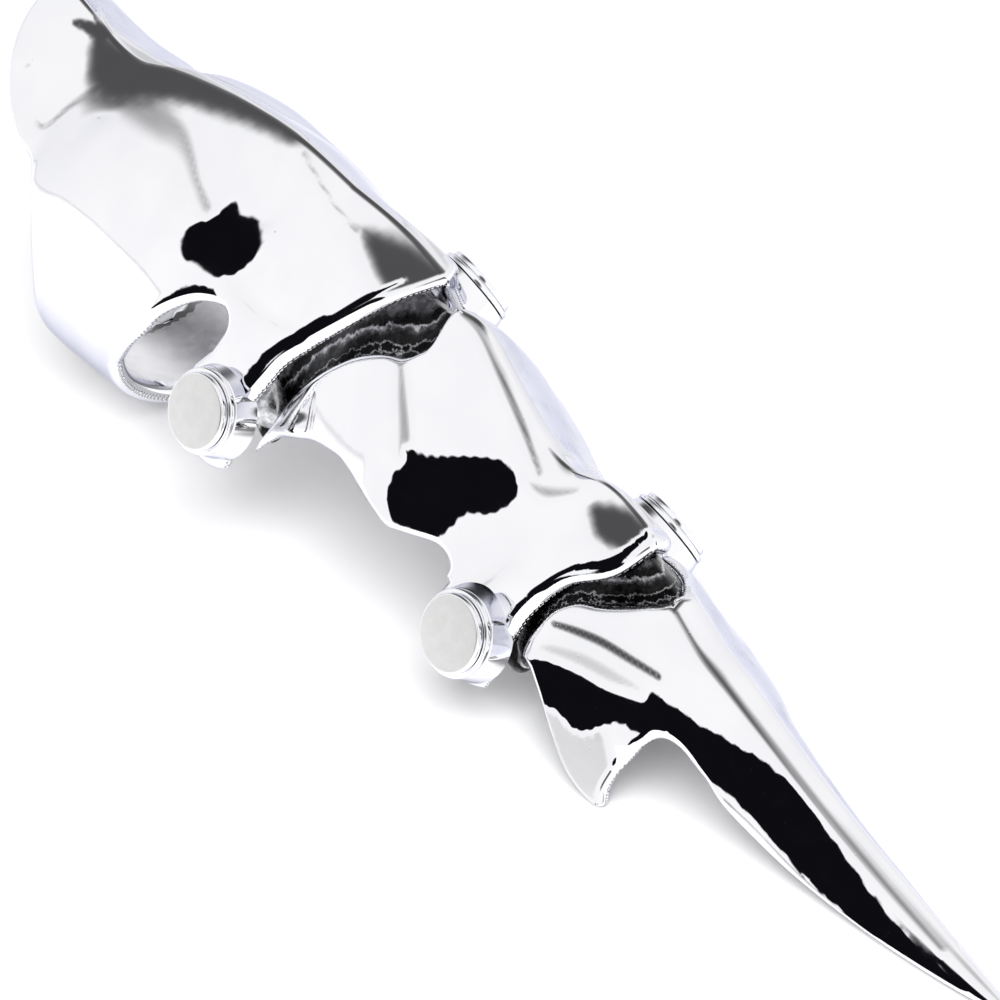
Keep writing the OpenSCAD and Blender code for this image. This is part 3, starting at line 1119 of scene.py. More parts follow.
    def sheet(self) -> tuple[np.ndarray, np.ndarray, np.ndarray, np.ndarray]:
        """Builds the closed skin of the shell: outside, round rim and inside, on both flanks.

        Returns:
            Points, directions, faces, and whether each face belongs to the inside.
        """
        self.chart()
        loop, rim = self.domain()
        flat = np.concatenate([loop, self.filling(loop, rim)])
        n = len(loop)
        edges = [(i, (i + 1) % n) for i in range(n)]
        spots, _, faces, _, _, _ = delaunay_2d_cdt([Vector(p) for p in flat], edges, [], 1, 1e-5)
        flat = np.array([tuple(p) for p in spots])
        faces = np.array([f for f in faces if len(f) == 3])
        x, s = flat[:, 0], np.maximum(flat[:, 1], 0)
        angle = self.angle_of(x, s)
        p, square, out = self.skin(x, s, angle)
        seam = (s < 1e-4) | (angle < -math.pi / 2 + 2e-3)
        for part in (p, square, out):
            part[seam, 1] = 0
        square, out = unit(square), unit(out)
        # how far each point lies from the rim, measured on the metal
        lx, ls = loop[:, 0], loop[:, 1]
        line, _, _ = self.skin(lx, ls, self.angle_of(lx, ls))
        after = np.roll(line, -1, axis=0)
        on_rim = rim | np.roll(rim, -1)
        starts, ends = line[on_rim], after[on_rim]
        both = (np.concatenate([part, part * MIRROR]) for part in (starts, ends))
        far, near = distance_to(p, *both)
        radius = self.wall / 2
        edge = np.zeros(len(p), bool)
        edge[:n] = rim | (np.roll(rim, 1) | np.roll(rim, -1))
        far[:n][edge[:n]] = 0
        lean = np.clip((radius - far) / radius, 0, 1)
        stand = np.sqrt(1 - lean**2)
        drop = radius * (1 - stand)
        away = near - p
        away -= (away * square).sum(1, keepdims=True) * square
        if edge.any():
            mid = unit(np.roll(line, -1, axis=0) - np.roll(line, 1, axis=0))
            push = np.cross(mid, square[:n]) * self.sense(flat[:n])
            away[:n][edge[:n]] = push[edge[:n]]
        away = unit(away)
        turned = unit(stand[:, None] * out + lean[:, None] * away)
        inner_turned = unit(-stand[:, None] * square + lean[:, None] * away)
        outer = p - drop[:, None] * square
        inner = p - (self.wall - drop)[:, None] * square
        inner[:, 1] = np.minimum(inner[:, 1], 0)
        inner[seam, 1] = 0
        deep = far > self.polished_rim * self.wall
        return self.both_flanks(outer, turned, inner, inner_turned, faces, edge, seam, deep)

    def sense(self, loop: np.ndarray) -> int:
        """Gives 1 for a loop of (x, s) that has its inside on the left, and -1 for another."""
        after = np.roll(loop, -1, axis=0)
        return 1 if np.sum(loop[:, 0] * after[:, 1] - after[:, 0] * loop[:, 1]) > 0 else -1

    def both_flanks(
        self,
        outer: np.ndarray,
        outer_n: np.ndarray,
        inner: np.ndarray,
        inner_n: np.ndarray,
        faces: np.ndarray,
        edge: np.ndarray,
        seam: np.ndarray,
        deep: np.ndarray,
    ) -> tuple[np.ndarray, np.ndarray, np.ndarray, np.ndarray]:
        """Joins outside and inside at the rim, and both flanks along the middle.

        Args:
            outer: Points of the near flank's outside.
            outer_n: Their directions.
            inner: Points of its inside.
            inner_n: Their directions.
            faces: The flank's triangles.
            edge: Which points lie on the rim, where outside and inside meet.
            seam: Which points lie on the middle plane, where the flanks meet.
            deep: Which points lie beyond the polished rim.

        Returns:
            Points, directions, faces, and whether each face belongs to the inside.
        """
        count = len(outer)
        points = np.concatenate([outer, inner, outer * MIRROR, inner * MIRROR])
        normals = np.concatenate([outer_n, inner_n, outer_n * MIRROR, inner_n * MIRROR])
        index = np.arange(4 * count)
        ids = np.arange(count)
        index[count + ids[edge]] = ids[edge]
        index[3 * count + ids[edge]] = 2 * count + ids[edge]
        index[2 * count + ids[seam]] = index[ids[seam]]
        index[3 * count + ids[seam]] = index[count + ids[seam]]
        a, b, c = outer[faces[:, 0]], outer[faces[:, 1]], outer[faces[:, 2]]
        facing = (np.cross(b - a, c - a) * outer_n[faces].sum(1)).sum(1)
        faces = np.where((facing < 0)[:, None], faces[:, ::-1], faces)
        sets = [faces, faces[:, ::-1] + count, faces[:, ::-1] + 2 * count, faces + 3 * count]
        whole = index[np.concatenate(sets)]
        outside, beyond = np.zeros(len(faces), bool), deep[faces].all(1)
        within = np.concatenate([outside, beyond, outside, beyond])
        closed = (whole != np.roll(whole, 1, axis=1)).all(1)
        whole, within = whole[closed], within[closed]
        used, back = np.unique(whole, return_inverse=True)
        return points[used], normals[used], back.reshape(-1, 3), within

    def build(self, finishes: Finishes) -> bpy.types.Object:
        """Builds and dresses the shell, and puts it on its body.

        Args:
            finishes: The finishes to dress it in.

        Returns:
            The object.
        """
        points, normals, faces, within = self.sheet()
        made = mesh_object(
            self.name,
            HINGES.placed(points),
            faces,
            HINGES.turned(normals),
            self.metals(finishes),
            self.slots(within),
        )
        marks = self.marks(points)
        if marks is not None:
            made.data.attributes.new(FROM_RIM, "FLOAT", "POINT").data.foreach_set("value", marks)
        return fitted(made, self.body, self.node)

    def metals(self, finishes: Finishes) -> list:
        """Gives the finishes of the outside and of the inside."""
        return [finishes.polish, finishes.inside]

    def marks(self, points: np.ndarray) -> np.ndarray | None:
        """Gives a value for each point that the finish needs, if it needs one."""
        return None

    def slots(self, within: np.ndarray) -> np.ndarray:
        """Gives each face its material number: polish outside, cast metal inside."""
        return within.astype(int)


@dataclass(frozen=True)
class Sizes:
    """The named sizes that the shells and rivets share with the solids, in millimetres."""

    bore_r: float = 10.0
    band_len: float = 9.2
    link: float = 29.0
    base_rear: float = 40.0
    base_lip: float = 12.4
    middle_lip: float = 9.7
    claw_len: float = 52.0
    base_h: float = 18.4
    middle_h: float = 17.1
    claw_h: float = 12.1
    base_span: float = 23.5
    middle_span: float = 17.6
    barb_span: float = 17.0
    wall: float = 1.5
    band_wall: float = 1.7
    tongue_step: float = 1.25
    tongue_wall: float = 1.1
    lug_r: float = 4.3
    lean: float = 27.0
    ear_r: float = 3.3
    ear_rim: float = 0.9
    pin_r: float = 1.25
    head_r: float = 3.05
    head_t: float = 0.5
    head_edge: float = 0.2
    collar_r: float = 3.4
    collar_t: float = 0.4
    groove_t: float = 0.1
    groove_d: float = 0.25
    tail_r: float = 1.95
    tail_t: float = 0.6
    pad_t: float = 1.15
    pad_flare: float = 0.45
    pin_play: float = 0.05
    seat_gap: float = 0.08
    ear_gap: float = 0.35

    @property
    def band_r(self) -> float:
        """The band's outer radius."""
        return self.bore_r + self.band_wall

    @property
    def reach(self) -> float:
        """The first hinge forward to the point of the middle lip."""
        return self.link + self.middle_lip

    def bore_z(self, x: np.ndarray) -> np.ndarray:
        """Height of the bore's axis in the hinge frame."""
        return -HINGES.bore_drop + (x + HINGES.bore_back) * math.tan(math.radians(HINGES.pitch))

    def ground_z(self, x: np.ndarray) -> np.ndarray:
        """Height of the floor in the hinge frame."""
        return self.bore_z(x) - self.band_r / math.cos(math.radians(HINGES.pitch))

    def ear_top(self, span: float) -> float:
        """Where an ear's dome meets the hinge axis."""
        return span / 2 - self.wall / math.cos(math.radians(self.lean)) - self.ear_gap

    def ear_floor(self, span: float) -> float:
        """The flat inner face of an ear."""
        return self.ear_top(span) - self.ear_r * math.tan(math.radians(self.lean)) - self.ear_rim


SIZES = Sizes()


def lug(hinge_x: float) -> np.ndarray:
    """Gives the round end of a lug, about its hinge."""
    return arc(SIZES.lug_r, 160, 310, 20) + np.array([hinge_x, 0])


def dents(rows: Rows, sx: float, sz: float, x: np.ndarray, z: np.ndarray) -> np.ndarray:
    """Adds up a table of hollows.

    Args:
        rows: Forward share, up share, length, height, turn in degrees, depth in walls.
        sx: The length that the shares are of.
        sz: The height that the shares are of.
        x: Places along the shell.
        z: Heights.

    Returns:
        The depth at each place, in millimetres.
    """
    total = np.zeros(len(x))
    for at, up, length, height, turn, depth in rows:
        c, n = math.cos(math.radians(turn)), math.sin(math.radians(turn))
        dx, dz = x - at * sx, z - up * sz
        u, v = (dx * c + dz * n) / (length * sx), (dz * c - dx * n) / (height * sz)
        total += SIZES.wall * depth * np.exp(-u * u - v * v)
    return total


@dataclass
class BaseShell(Shell):
    """The knuckle shell with its ring band, two lugs and the front lip."""

    name: str = "base_shell_skin"
    node: str = "base_shell"
    body: Body = Body.BASE
    start: float = -SIZES.base_rear
    end: float = SIZES.base_lip
    grid: float = 0.5
    # Forward share, lugs' share of the width (the rest is the band's), half width as a share
    # of the half width so found, drop of the spring line, ridge, fullness, crown
    forms: Rows = (
        (-1.02, 0, 0.55, -0.60, 0.49, 1.5, 0.75),
        (-0.98, 0, 0.56, -0.58, 0.50, 1.5, 0.75),
        (-0.88, 0, 0.66, -0.54, 0.48, 1.2, 1.02),
        (-0.785, 0, 0.795, -0.44, 0.45, 1.3, 1.08),
        (-0.705, 0, 0.98, -0.06, 0.48, 2.9, 1.20),
        (-0.60, 0, 1.01, 0.00, 0.61, 3.0, 1.02),
        (-0.47, 0, 1.02, 0.00, 0.74, 2.9, 1.02),
        (-0.34, 0.5, 1.03, 0.00, 0.85, 2.3, 1.00),
        (-0.19, 1, 1.10, 0.08, 0.94, 1.6, 0.84),
        (-0.03, 1, 1.155, 0.16, 0.97, 1.2, 0.80),
        (0.57, 1, 1.205, 0.28, 1.02, 1.15, 0.80),
        (1.05, 1, 1.215, 0.36, 0.99, 1.15, 0.80),
    )
    hollows: Rows = (
        (-0.15, 0.53, 0.085, 0.16, 0, 0.34),
        (-0.38, 0.59, 0.20, 0.075, -3, 0.14),
        (-0.10, 0.36, 0.035, 0.13, 10, 0.12),
    )
    rim: Rows = (
        (-1.00, 0.50), (-0.995, 0.36), (-0.98, 0.25), (-0.955, 0.14), (-0.91, 0.06), (-0.85, 0.03),
        (-0.785, 0.03), (-0.73, 0.0), (-0.685, -0.05), (-0.655, -0.17), (-0.635, -0.40),
    )
    # Shares of the band's length and radius, from its middle
    band: Rows = ((-0.62, -0.95), (-0.5, -1.4), (0.5, -1.4), (0.55, -0.5))
    slot: Rows = (
        (-0.34, -0.37), (-0.305, -0.20), (-0.265, -0.04), (-0.23, 0.12), (-0.18, 0.25),
        (-0.14, 0.31), (-0.10, 0.33), (-0.075, 0.28), (-0.08, 0.17),
    )
    lip: Rows = (
        (0.22, -0.07), (0.19, 0.08), (0.24, 0.24), (0.31, 0.38), (0.54, 0.62),
        (0.75, 0.82), (0.90, 0.93), (1.00, 1.00),
    )
    relief: list = field(default_factory=lambda: [
        Crease(((-30.5, 5.4), (-26.5, 4.4), (-22, 4.0), (-18, 4.4), (-15.1, 5.8), (-12.7, 7.4),
            (-9.0, 9.6)), 0.22, 1.5),
        Crease(((-6.0, 12.4), (-2.0, 12.9), (1.0, 12.6), (5.0, 11.4)), 0.12, 1.2),
        Crease(((-34.0, 9.8), (-31.3, 8.8), (-30.6, 6.2), (-29.0, 2.8)), 0.10, 0.7),
    ])
    facets: list = field(default_factory=lambda: [
        # clear the horn, the lower dome and the shoulder in front of the dimple
        Facet(((-39.8, 5, 3), (-38.5, 3, 3), (-36, 3, 3)), (-0.15, -0.72, 0.68)),
        Facet(((-9.4, 14.0, 0.4), (-6.5, 13.8, 0.5), (-3.6, 12.8, 1.4), (-1.5, 9.5, 2.0)),
            TO_LIGHT, 0.9, 0.7),
        # the furrows between the domes, and the seam of the horn
        Facet(((-29.5, 5.0, 0.3), (-26.5, 4.4, 0.7), (-22.0, 4.0, 0.8), (-18.0, 4.4, 0.7),
            (-15.1, 5.8, 0.7), (-12.7, 7.4, 0.7), (-10.0, 8.8, 0.8)), TO_PALE, 0.97, 1.0),
        Facet(((-33.3, 9.3, 0.2), (-31.3, 8.8, 0.35), (-30.6, 6.2, 0.4), (-29.7, 3.9, 0.3)),
            TO_PALE, 1.0, 0.5),
        Facet(((-5.0, 12.6, 0.3), (-2.0, 12.9, 0.5), (1.0, 12.6, 0.5), (3.9, 11.8, 0.3)),
            TO_PALE, 0.95, 0.8),
        Facet(((-5.5, 0.9, 0.2), (-2.5, 1.6, 0.3), (0.0, 2.1, 0.3), (2.8, 2.5, 0.3)), TO_PALE, 1.0, 0.5),
        # the grey of the crest, and the grey triangle by the lip
        Patch(((-32.4, 0.2), (-33.2, 1.8), (-31, 3.6), (-27.5, 4.2), (-24, 3.4), (-20, 2.3), (-15, 1.6),
            (-10, 1.0), (-7, 0.5), (-10, -0.6), (-16, -0.8), (-24, -0.8)), TO_GREY, 1.0, 1.5, 0.15),
        Facet(((-35.6, 1.7, 0.3), (-34.2, 1.0, 0.5), (-33.0, 0.5, 0.5)), TO_GREY, 1.0, 0.4),
        Patch(((3.4, 2.3), (5.5, 1.3), (8.6, 0.3), (12.0, -0.2), (11.8, 1.6), (9.4, 4.4), (6.9, 4.2)),
            TO_GREY, 1.0, 1.7, 0.1),
        RimLine(1.05, 0.22, (1.5, 10.6), TO_DARK, 1.0, 0.22),
        RimLine(1.25, 0.36, (1.0, 6.8), TO_DARK, 1.0, 0.25),
        # the black dimple, and the black arc over the slot
        Patch(((-10.2, 11.9), (-10.1, 10.4), (-9.0, 9.3), (-8.0, 7.2), (-6.9, 7.9), (-5.2, 7.6),
            (-3.9, 9.0), (-4.3, 11.0), (-6.0, 12.6), (-7.9, 12.2), (-9.2, 13.1)),
            TO_DARK, 1.0, 0.75, 0.25),
        Patch(((-10.5, 20.6), (-9.9, 18.2), (-8.6, 16.2), (-7.0, 14.6), (-5.6, 13.9), (-4.9, 14.4),
            (-6.4, 15.6), (-7.9, 17.2), (-9.2, 19.0)), TO_DARK, 1.0, 0.25, 0.1),
    ])

    def form(self, x: np.ndarray) -> tuple[np.ndarray, ...]:
        """Gives the section's sizes at each x.

        Args:
            x: Places along the shell.

        Returns:
            Half width, spring height, ridge, belly, fullness and crown.
        """
        t = np.array(self.forms)
        s = np.where(x < 0, x / SIZES.base_rear, x / SIZES.base_lip)
        k = read(t, 1, s)
        half = SIZES.band_r * (1 - k) + SIZES.base_span / 2 * k
        return (
            half * read(t, 2, s),
            SIZES.bore_z(x) - read(t, 3, s) * SIZES.base_h,
            read(t, 4, s) * SIZES.base_h,
            np.full(len(x), SIZES.band_r),
            read(t, 5, s),
            read(t, 6, s),
        )

    def metals(self, finishes: Finishes) -> list:
        """Gives the finishes: the inside is worn smooth by the finger."""
        return [finishes.polish, finishes.worn]

    def hollow(self, x: np.ndarray, z: np.ndarray) -> np.ndarray:
        """Gives the depth of the pressed hollows."""
        return dents(self.hollows, SIZES.base_rear, SIZES.base_h, x, z)

    def outline(self) -> np.ndarray:
        """Gives the side outline.

        Returns:
            The closed loop of (x, z).
        """
        back, low = -HINGES.bore_back, SIZES.bore_z(np.array(-HINGES.bore_back))
        rear = np.array([SIZES.base_rear, SIZES.base_h])
        front = np.array([SIZES.base_lip, SIZES.base_h])
        band = np.array(self.band) * np.array([SIZES.band_len, SIZES.band_r]) + np.array([back, low])
        # closed well above the ridge
        top = np.array([[SIZES.base_lip, 2 * SIZES.base_h], [-SIZES.base_rear, 2 * SIZES.base_h]])
        parts = [
            smooth(np.array(self.rim) * rear, 6),
            band,
            smooth(np.array(self.slot) * rear, 6),
            lug(0.0),
            smooth(np.array(self.lip) * front, 6),
            top,
        ]
        return np.concatenate(parts)


@dataclass
class MiddleShell(Shell):
    """The shell over the second finger bone."""

    name: str = "middle_shell_skin"
    node: str = "middle_shell"
    body: Body = Body.MIDDLE
    start: float = 0.0
    end: float = SIZES.reach
    # Forward share, half width, ridge, fullness, crown
    forms: Rows = (
        (0.00, 0.90, 0.60, 1.3, 0.80),
        (0.08, 0.92, 0.70, 1.3, 0.80),
        (0.17, 1.00, 0.86, 1.3, 0.80),
        (0.34, 1.115, 0.95, 1.3, 0.78),
        (0.43, 1.155, 1.00, 1.3, 0.78),
        (0.51, 1.165, 0.89, 1.35, 0.75),
        (0.61, 1.13, 0.75, 1.4, 0.74),
        (0.66, 1.125, 0.70, 1.4, 0.74),
        (0.73, 1.13, 0.71, 1.35, 0.76),
        (0.84, 1.14, 0.83, 1.2, 0.80),
        (0.94, 1.14, 0.83, 1.15, 0.80),
        (1.02, 1.12, 0.77, 1.15, 0.80),
    )
    spring: float = -0.30
    belly: float = 0.175
    hollows: Rows = ((0.63, 0.38, 0.13, 0.28, 0, 0.50), (0.33, 0.52, 0.16, 0.07, -8, 0.14))
    rim: Rows = (
        (0.33, 1.05), (0.34, 0.92), (0.35, 0.82), (0.335, 0.76), (0.31, 0.705), (0.255, 0.63),
        (0.205, 0.54), (0.17, 0.45), (0.135, 0.34), (0.105, 0.21), (0.09, 0.11), (0.08, 0.00),
        (0.068, -0.11), (0.062, -0.20),
    )
    under: Rows = (
        (0.08, -0.12), (0.11, -0.03), (0.167, 0.065), (0.21, 0.125), (0.257, 0.163), (0.294, 0.183),
        (0.325, 0.183), (0.356, 0.175), (0.396, 0.16), (0.434, 0.142), (0.474, 0.125), (0.505, 0.142),
        (0.542, 0.164), (0.582, 0.183), (0.61, 0.171), (0.629, 0.14), (0.632, 0.09),
    )
    lip: Rows = ((0.30, -0.12), (0.33, 0.08), (0.37, 0.24), (0.54, 0.44), (0.86, 0.60), (1.00, 0.76))
    relief: list = field(default_factory=lambda: [
        Crease(((9.0, 3.2), (12.5, 6.4), (14.6, 8.8), (18.0, 13.0)), 0.20, 1.2),
        Crease(((25.0, 15.5), (27.6, 12.0), (29.2, 7.5)), 0.12, 1.2),
    ])
    facets: list = field(default_factory=lambda: [
        # clear the saddle, the waist under the patch and the shoulder of the lip
        Patch(((10, 1.0), (15, 0.5), (21, 0.4), (24.5, 0.9), (27.5, 3.4), (29.5, 7.5), (28.8, 11),
            (26.5, 14.2), (24, 17), (20.5, 19.5), (17, 19.5), (15.2, 15), (13, 9)), (-0.09, -0.81, 0.57),
            1.0, 0.9),
        Patch(((26.5, 5.5), (29, 2.8), (31.5, 1.5), (35, 0.4), (38.8, 0.3), (39.2, 5), (37, 9.2),
            (33, 10), (29, 9)), (-0.12, -0.78, 0.62), 1.0, 0.7),
        # the grey strips of the crest, the furrow of the flank and the grey area by the lip
        Facet(((14.5, 0.3, 0.15), (17, 0.5, 0.4), (20, 0.6, 0.5), (24, 1.0, 0.5), (26.5, 1.8, 0.3)),
            TO_GREY, 0.8, 0.8),
        Facet(((10.0, 4.2, 0.3), (12.5, 6.4, 0.6), (14.6, 8.8, 0.8), (16.9, 11.6, 1.0)),
            TO_PALE, 1.0, 0.8),
        Facet(((25.8, 3.0, 0.3), (28.0, 2.6, 0.7), (30.4, 1.6, 0.4)), TO_PALE, 1.0, 0.8),
        Facet(((25.6, 14.5, 0.4), (27.6, 12.0, 0.7), (28.8, 9.0, 0.4)), TO_PALE, 0.95, 0.9),
        Patch(((32.4, 2.3), (33.2, 1.3), (35.3, 0.2), (38.8, -0.2), (37.2, 2.85), (34.4, 3.7)),
            TO_GREY, 1.0, 1.4, 0.15),
        RimLine(1.0, 0.24, (29.0, 39.5), TO_DARK, 1.0, 0.2),
        # the black patch of the waist, with the furrow that runs into it
        Patch(((16.9, 11.4), (18.3, 10.3), (20.4, 7.6), (22.3, 5.3), (24.1, 3.6), (25.3, 3.5),
            (26.1, 4.7), (25.3, 6.6), (23.5, 8.7), (22.9, 11.2), (22.3, 12.9), (20.8, 14.0), (19.3, 15.6),
            (17.7, 15.3), (17.1, 13.7), (17.5, 12.1)), TO_DARK, 1.0, 0.65, 0.2),
    ])

    def form(self, x: np.ndarray) -> tuple[np.ndarray, ...]:
        """Gives the section's sizes at each x.

        Args:
            x: Places along the shell.

        Returns:
            Half width, spring height, ridge, belly, fullness and crown.
        """
        t, s = np.array(self.forms), x / SIZES.reach
        forward = np.clip(x / SIZES.link, 0, 1)
        half = (SIZES.base_span * (1 - forward) + SIZES.middle_span * forward) / 2
        return (
            read(t, 1, s) * half,
            np.full(len(x), self.spring * SIZES.middle_h),
            read(t, 2, s) * SIZES.middle_h,
            np.full(len(x), self.belly * SIZES.middle_h),
            read(t, 3, s),
            read(t, 4, s),
        )

    def hollow(self, x: np.ndarray, z: np.ndarray) -> np.ndarray:
        """Gives the depth of the pressed hollows."""
        return dents(self.hollows, SIZES.reach, SIZES.middle_h, x, z)

    def outline(self) -> np.ndarray:
        """Gives the side outline.

        Returns:
            The closed loop of (x, z).
        """
        whole = np.array([SIZES.reach, SIZES.middle_h])
        hinge = np.array([SIZES.link, 0])
        parts = [
            smooth(np.array(self.rim) * whole, 6),
            smooth(np.array(self.under) * whole, 6),
            lug(SIZES.link),
            smooth(np.array(self.lip) * np.array([SIZES.middle_lip, SIZES.middle_h]), 6) + hinge,
            np.array([[SIZES.reach, 2 * SIZES.middle_h], [0.34 * SIZES.reach, 2 * SIZES.middle_h]]),
        ]
        return np.concatenate(parts)


@dataclass
class ClawShell(Shell):
    """The pointed claw tip with its two barbs. Its own x starts at the second hinge."""

    name: str = "claw_shell_skin"
    node: str = "claw_shell"
    body: Body = Body.CLAW
    start: float = SIZES.link
    end: float = SIZES.link + SIZES.claw_len - 1.0
    tucked: bool = True
    # Forward share, barbs' share of the width (the rest is the lugs'), half width as a share of
    # the half width so found, spring height, ridge, fullness, crown
    forms: Rows = (
        (0.00, 0, 0.94, -0.40, 0.98, 1.3, 0.76),
        (0.05, 0, 0.965, -0.42, 1.02, 1.3, 0.75),
        (0.12, 0, 0.995, -0.44, 1.04, 1.3, 0.72),
        (0.19, 0.5, 1.03, -0.46, 0.99, 1.35, 0.70),
        (0.26, 1, 1.05, -0.46, 0.86, 1.4, 0.68),
        (0.32, 1, 0.99, -0.44, 0.74, 1.5, 0.65),
        (0.38, 1, 0.80, -0.32, 0.68, 1.7, 0.60),
        (0.45, 1, 0.54, -0.14, 0.61, 1.9, 0.56),
        (0.61, 1, 0.37, -0.06, 0.46, 2.0, 0.52),
        (0.74, 1, 0.29, 0.02, 0.38, 2.0, 0.50),
        (0.86, 1, 0.20, 0.12, 0.33, 2.0, 0.50),
        (0.96, 1, 0.11, 0.21, 0.31, 2.0, 0.50),
        (1.00, 1, 0.04, 0.25, 0.30, 2.0, 0.50),
    )
    belly: float = 0.25
    hollows: Rows = ((0.20, 0.33, 0.14, 0.07, 14, 0.16),)
    rim: Rows = (
        (0.225, 1.12), (0.232, 0.96), (0.235, 0.86), (0.214, 0.79), (0.19, 0.725), (0.161, 0.65),
        (0.122, 0.56), (0.092, 0.41), (0.078, 0.26), (0.073, 0.12), (0.075, 0.0),
    )
    barb: Rows = (
        (0.10, 0.05), (0.14, 0.22), (0.18, 0.46), (0.225, 0.74), (0.265, 0.92), (0.295, 1.00),
        (0.314, 0.94), (0.31, 0.60), (0.314, 0.22),
    )
    under: Rows = (
        (0.33, 0.14), (0.35, 0.23), (0.38, 0.23), (0.42, 0.15), (0.48, 0.04), (0.61, -0.02),
        (0.74, 0.03), (0.86, 0.115), (0.96, 0.21), (1.00, 0.25),
    )
    relief: list = field(default_factory=lambda: [
        Crease(((32.0, 11.8), (36.5, 9.3), (40, 7.5), (46.0, 4.4)), 0.16, 0.9),
    ])
    facets: list = field(default_factory=lambda: [
        # clear the flank over the streak and the barb under it
        Patch(((33, 9.5), (36, 4.0), (40, 2.0), (46, 1.4), (52, 1.0), (58, 0.7), (66, 1.0), (72, 1.4),
            (77, 1.4), (77, 3.4), (70, 4.8), (62, 6.2), (56, 6.8), (50, 8), (46, 10), (43, 13), (38, 14)),
            (-0.05, -0.76, 0.65), 1.0, 0.6),
        Facet(((37, 18.0, 1.4), (41, 16.6, 1.4), (44.5, 13.4, 1.8), (47.5, 10.6, 1.8), (51, 9.3, 1.4),
            (56, 8.2, 1.4), (62, 7.5, 1.2), (70, 6, 1)), (0.0, -0.93, 0.36), 1.0, 0.6),
        # the light grey of the barb
        Patch(((33.2, 13.6), (38.0, 13.4), (41.5, 11.6), (44.0, 11.6), (46.0, 14.0), (46.0, 20.0),
            (45.0, 27.0), (39.0, 27.0), (34.5, 21.0)), TO_PALE, 0.93, 0.9),
        # the long black streak, and the pale and grey lines of the crease over it
        Patch(((33.0, 15.0), (34.6, 13.5), (37.2, 11.7), (40.4, 9.8), (43.0, 7.5), (44.6, 6.0),
            (48.4, 4.7), (50.1, 4.1), (54.8, 2.2), (58.6, 1.4), (62.4, 1.7), (68.9, 2.2), (73.1, 2.0),
            (79, 1.6), (79, 2.7), (73, 3.6), (68, 4.4), (62.3, 5.3), (59.0, 5.5), (54.6, 5.8),
            (50.2, 7.0), (46.5, 8.0), (43.8, 9.7), (42.9, 11.1), (42.0, 12.9), (40.7, 14.2), (38.4, 15.1),
            (36.6, 15.75)), TO_DARK, 1.0, 0.45, 0.16),
        Facet(((34.6, 12.4, 0.7), (38.0, 10.4, 0.9), (41.0, 8.6, 0.9), (44.0, 6.6, 0.6)),
            TO_PALE, 0.9, 0.8),
        Facet(((34.6, 10.2, 0.3), (37.0, 8.9, 0.36), (40, 7.2, 0.36), (44.5, 4.7, 0.3)),
            TO_GREY, 1.0, 0.5),
        Facet(((33.5, 0.9, 0.3), (45, 1.0, 0.35), (58, 0.8, 0.3), (74, 0.7, 0.2)), TO_GREY, 0.88, 0.5),
    ])

    def form(self, x: np.ndarray) -> tuple[np.ndarray, ...]:
        """Gives the section's sizes at each x.

        Args:
            x: Places along the shell.

        Returns:
            Half width, spring height, ridge, belly, fullness and crown.
        """
        t, s = np.array(self.forms), (x - SIZES.link) / SIZES.claw_len
        k, share = read(t, 1, s), read(t, 2, s)
        half = (SIZES.middle_span * (1 - k) + SIZES.barb_span * k) / 2
        return (
            share * half,
            read(t, 3, s) * SIZES.claw_h,
            read(t, 4, s) * SIZES.claw_h,
            share * self.belly * SIZES.claw_h,
            read(t, 5, s),
            read(t, 6, s),
        )

    def hollow(self, x: np.ndarray, z: np.ndarray) -> np.ndarray:
        """Gives the depth of the pressed hollows."""
        return dents(self.hollows, SIZES.claw_len, SIZES.claw_h, x - SIZES.link, z)

    def outline(self) -> np.ndarray:
        """Gives the side outline.

        Returns:
            The closed loop of (x, z).
        """
        whole = np.array([SIZES.claw_len, SIZES.claw_h])
        hinge = np.array([SIZES.link, 0])
        barb = np.array(self.barb)
        forward = barb[:, 0] * SIZES.claw_len
        drop = np.stack([forward, SIZES.ground_z(SIZES.link + forward) * barb[:, 1]], 1)
        parts = [
            smooth(np.array(self.rim) * whole, 6),
            smooth(drop, 6),
            smooth(np.array(self.under) * whole, 6),
            np.array([[1.0, 1.0], [0.5, 2.0], [0.20, 2.0]]) * whole,
        ]
        return np.concatenate(parts) + hinge


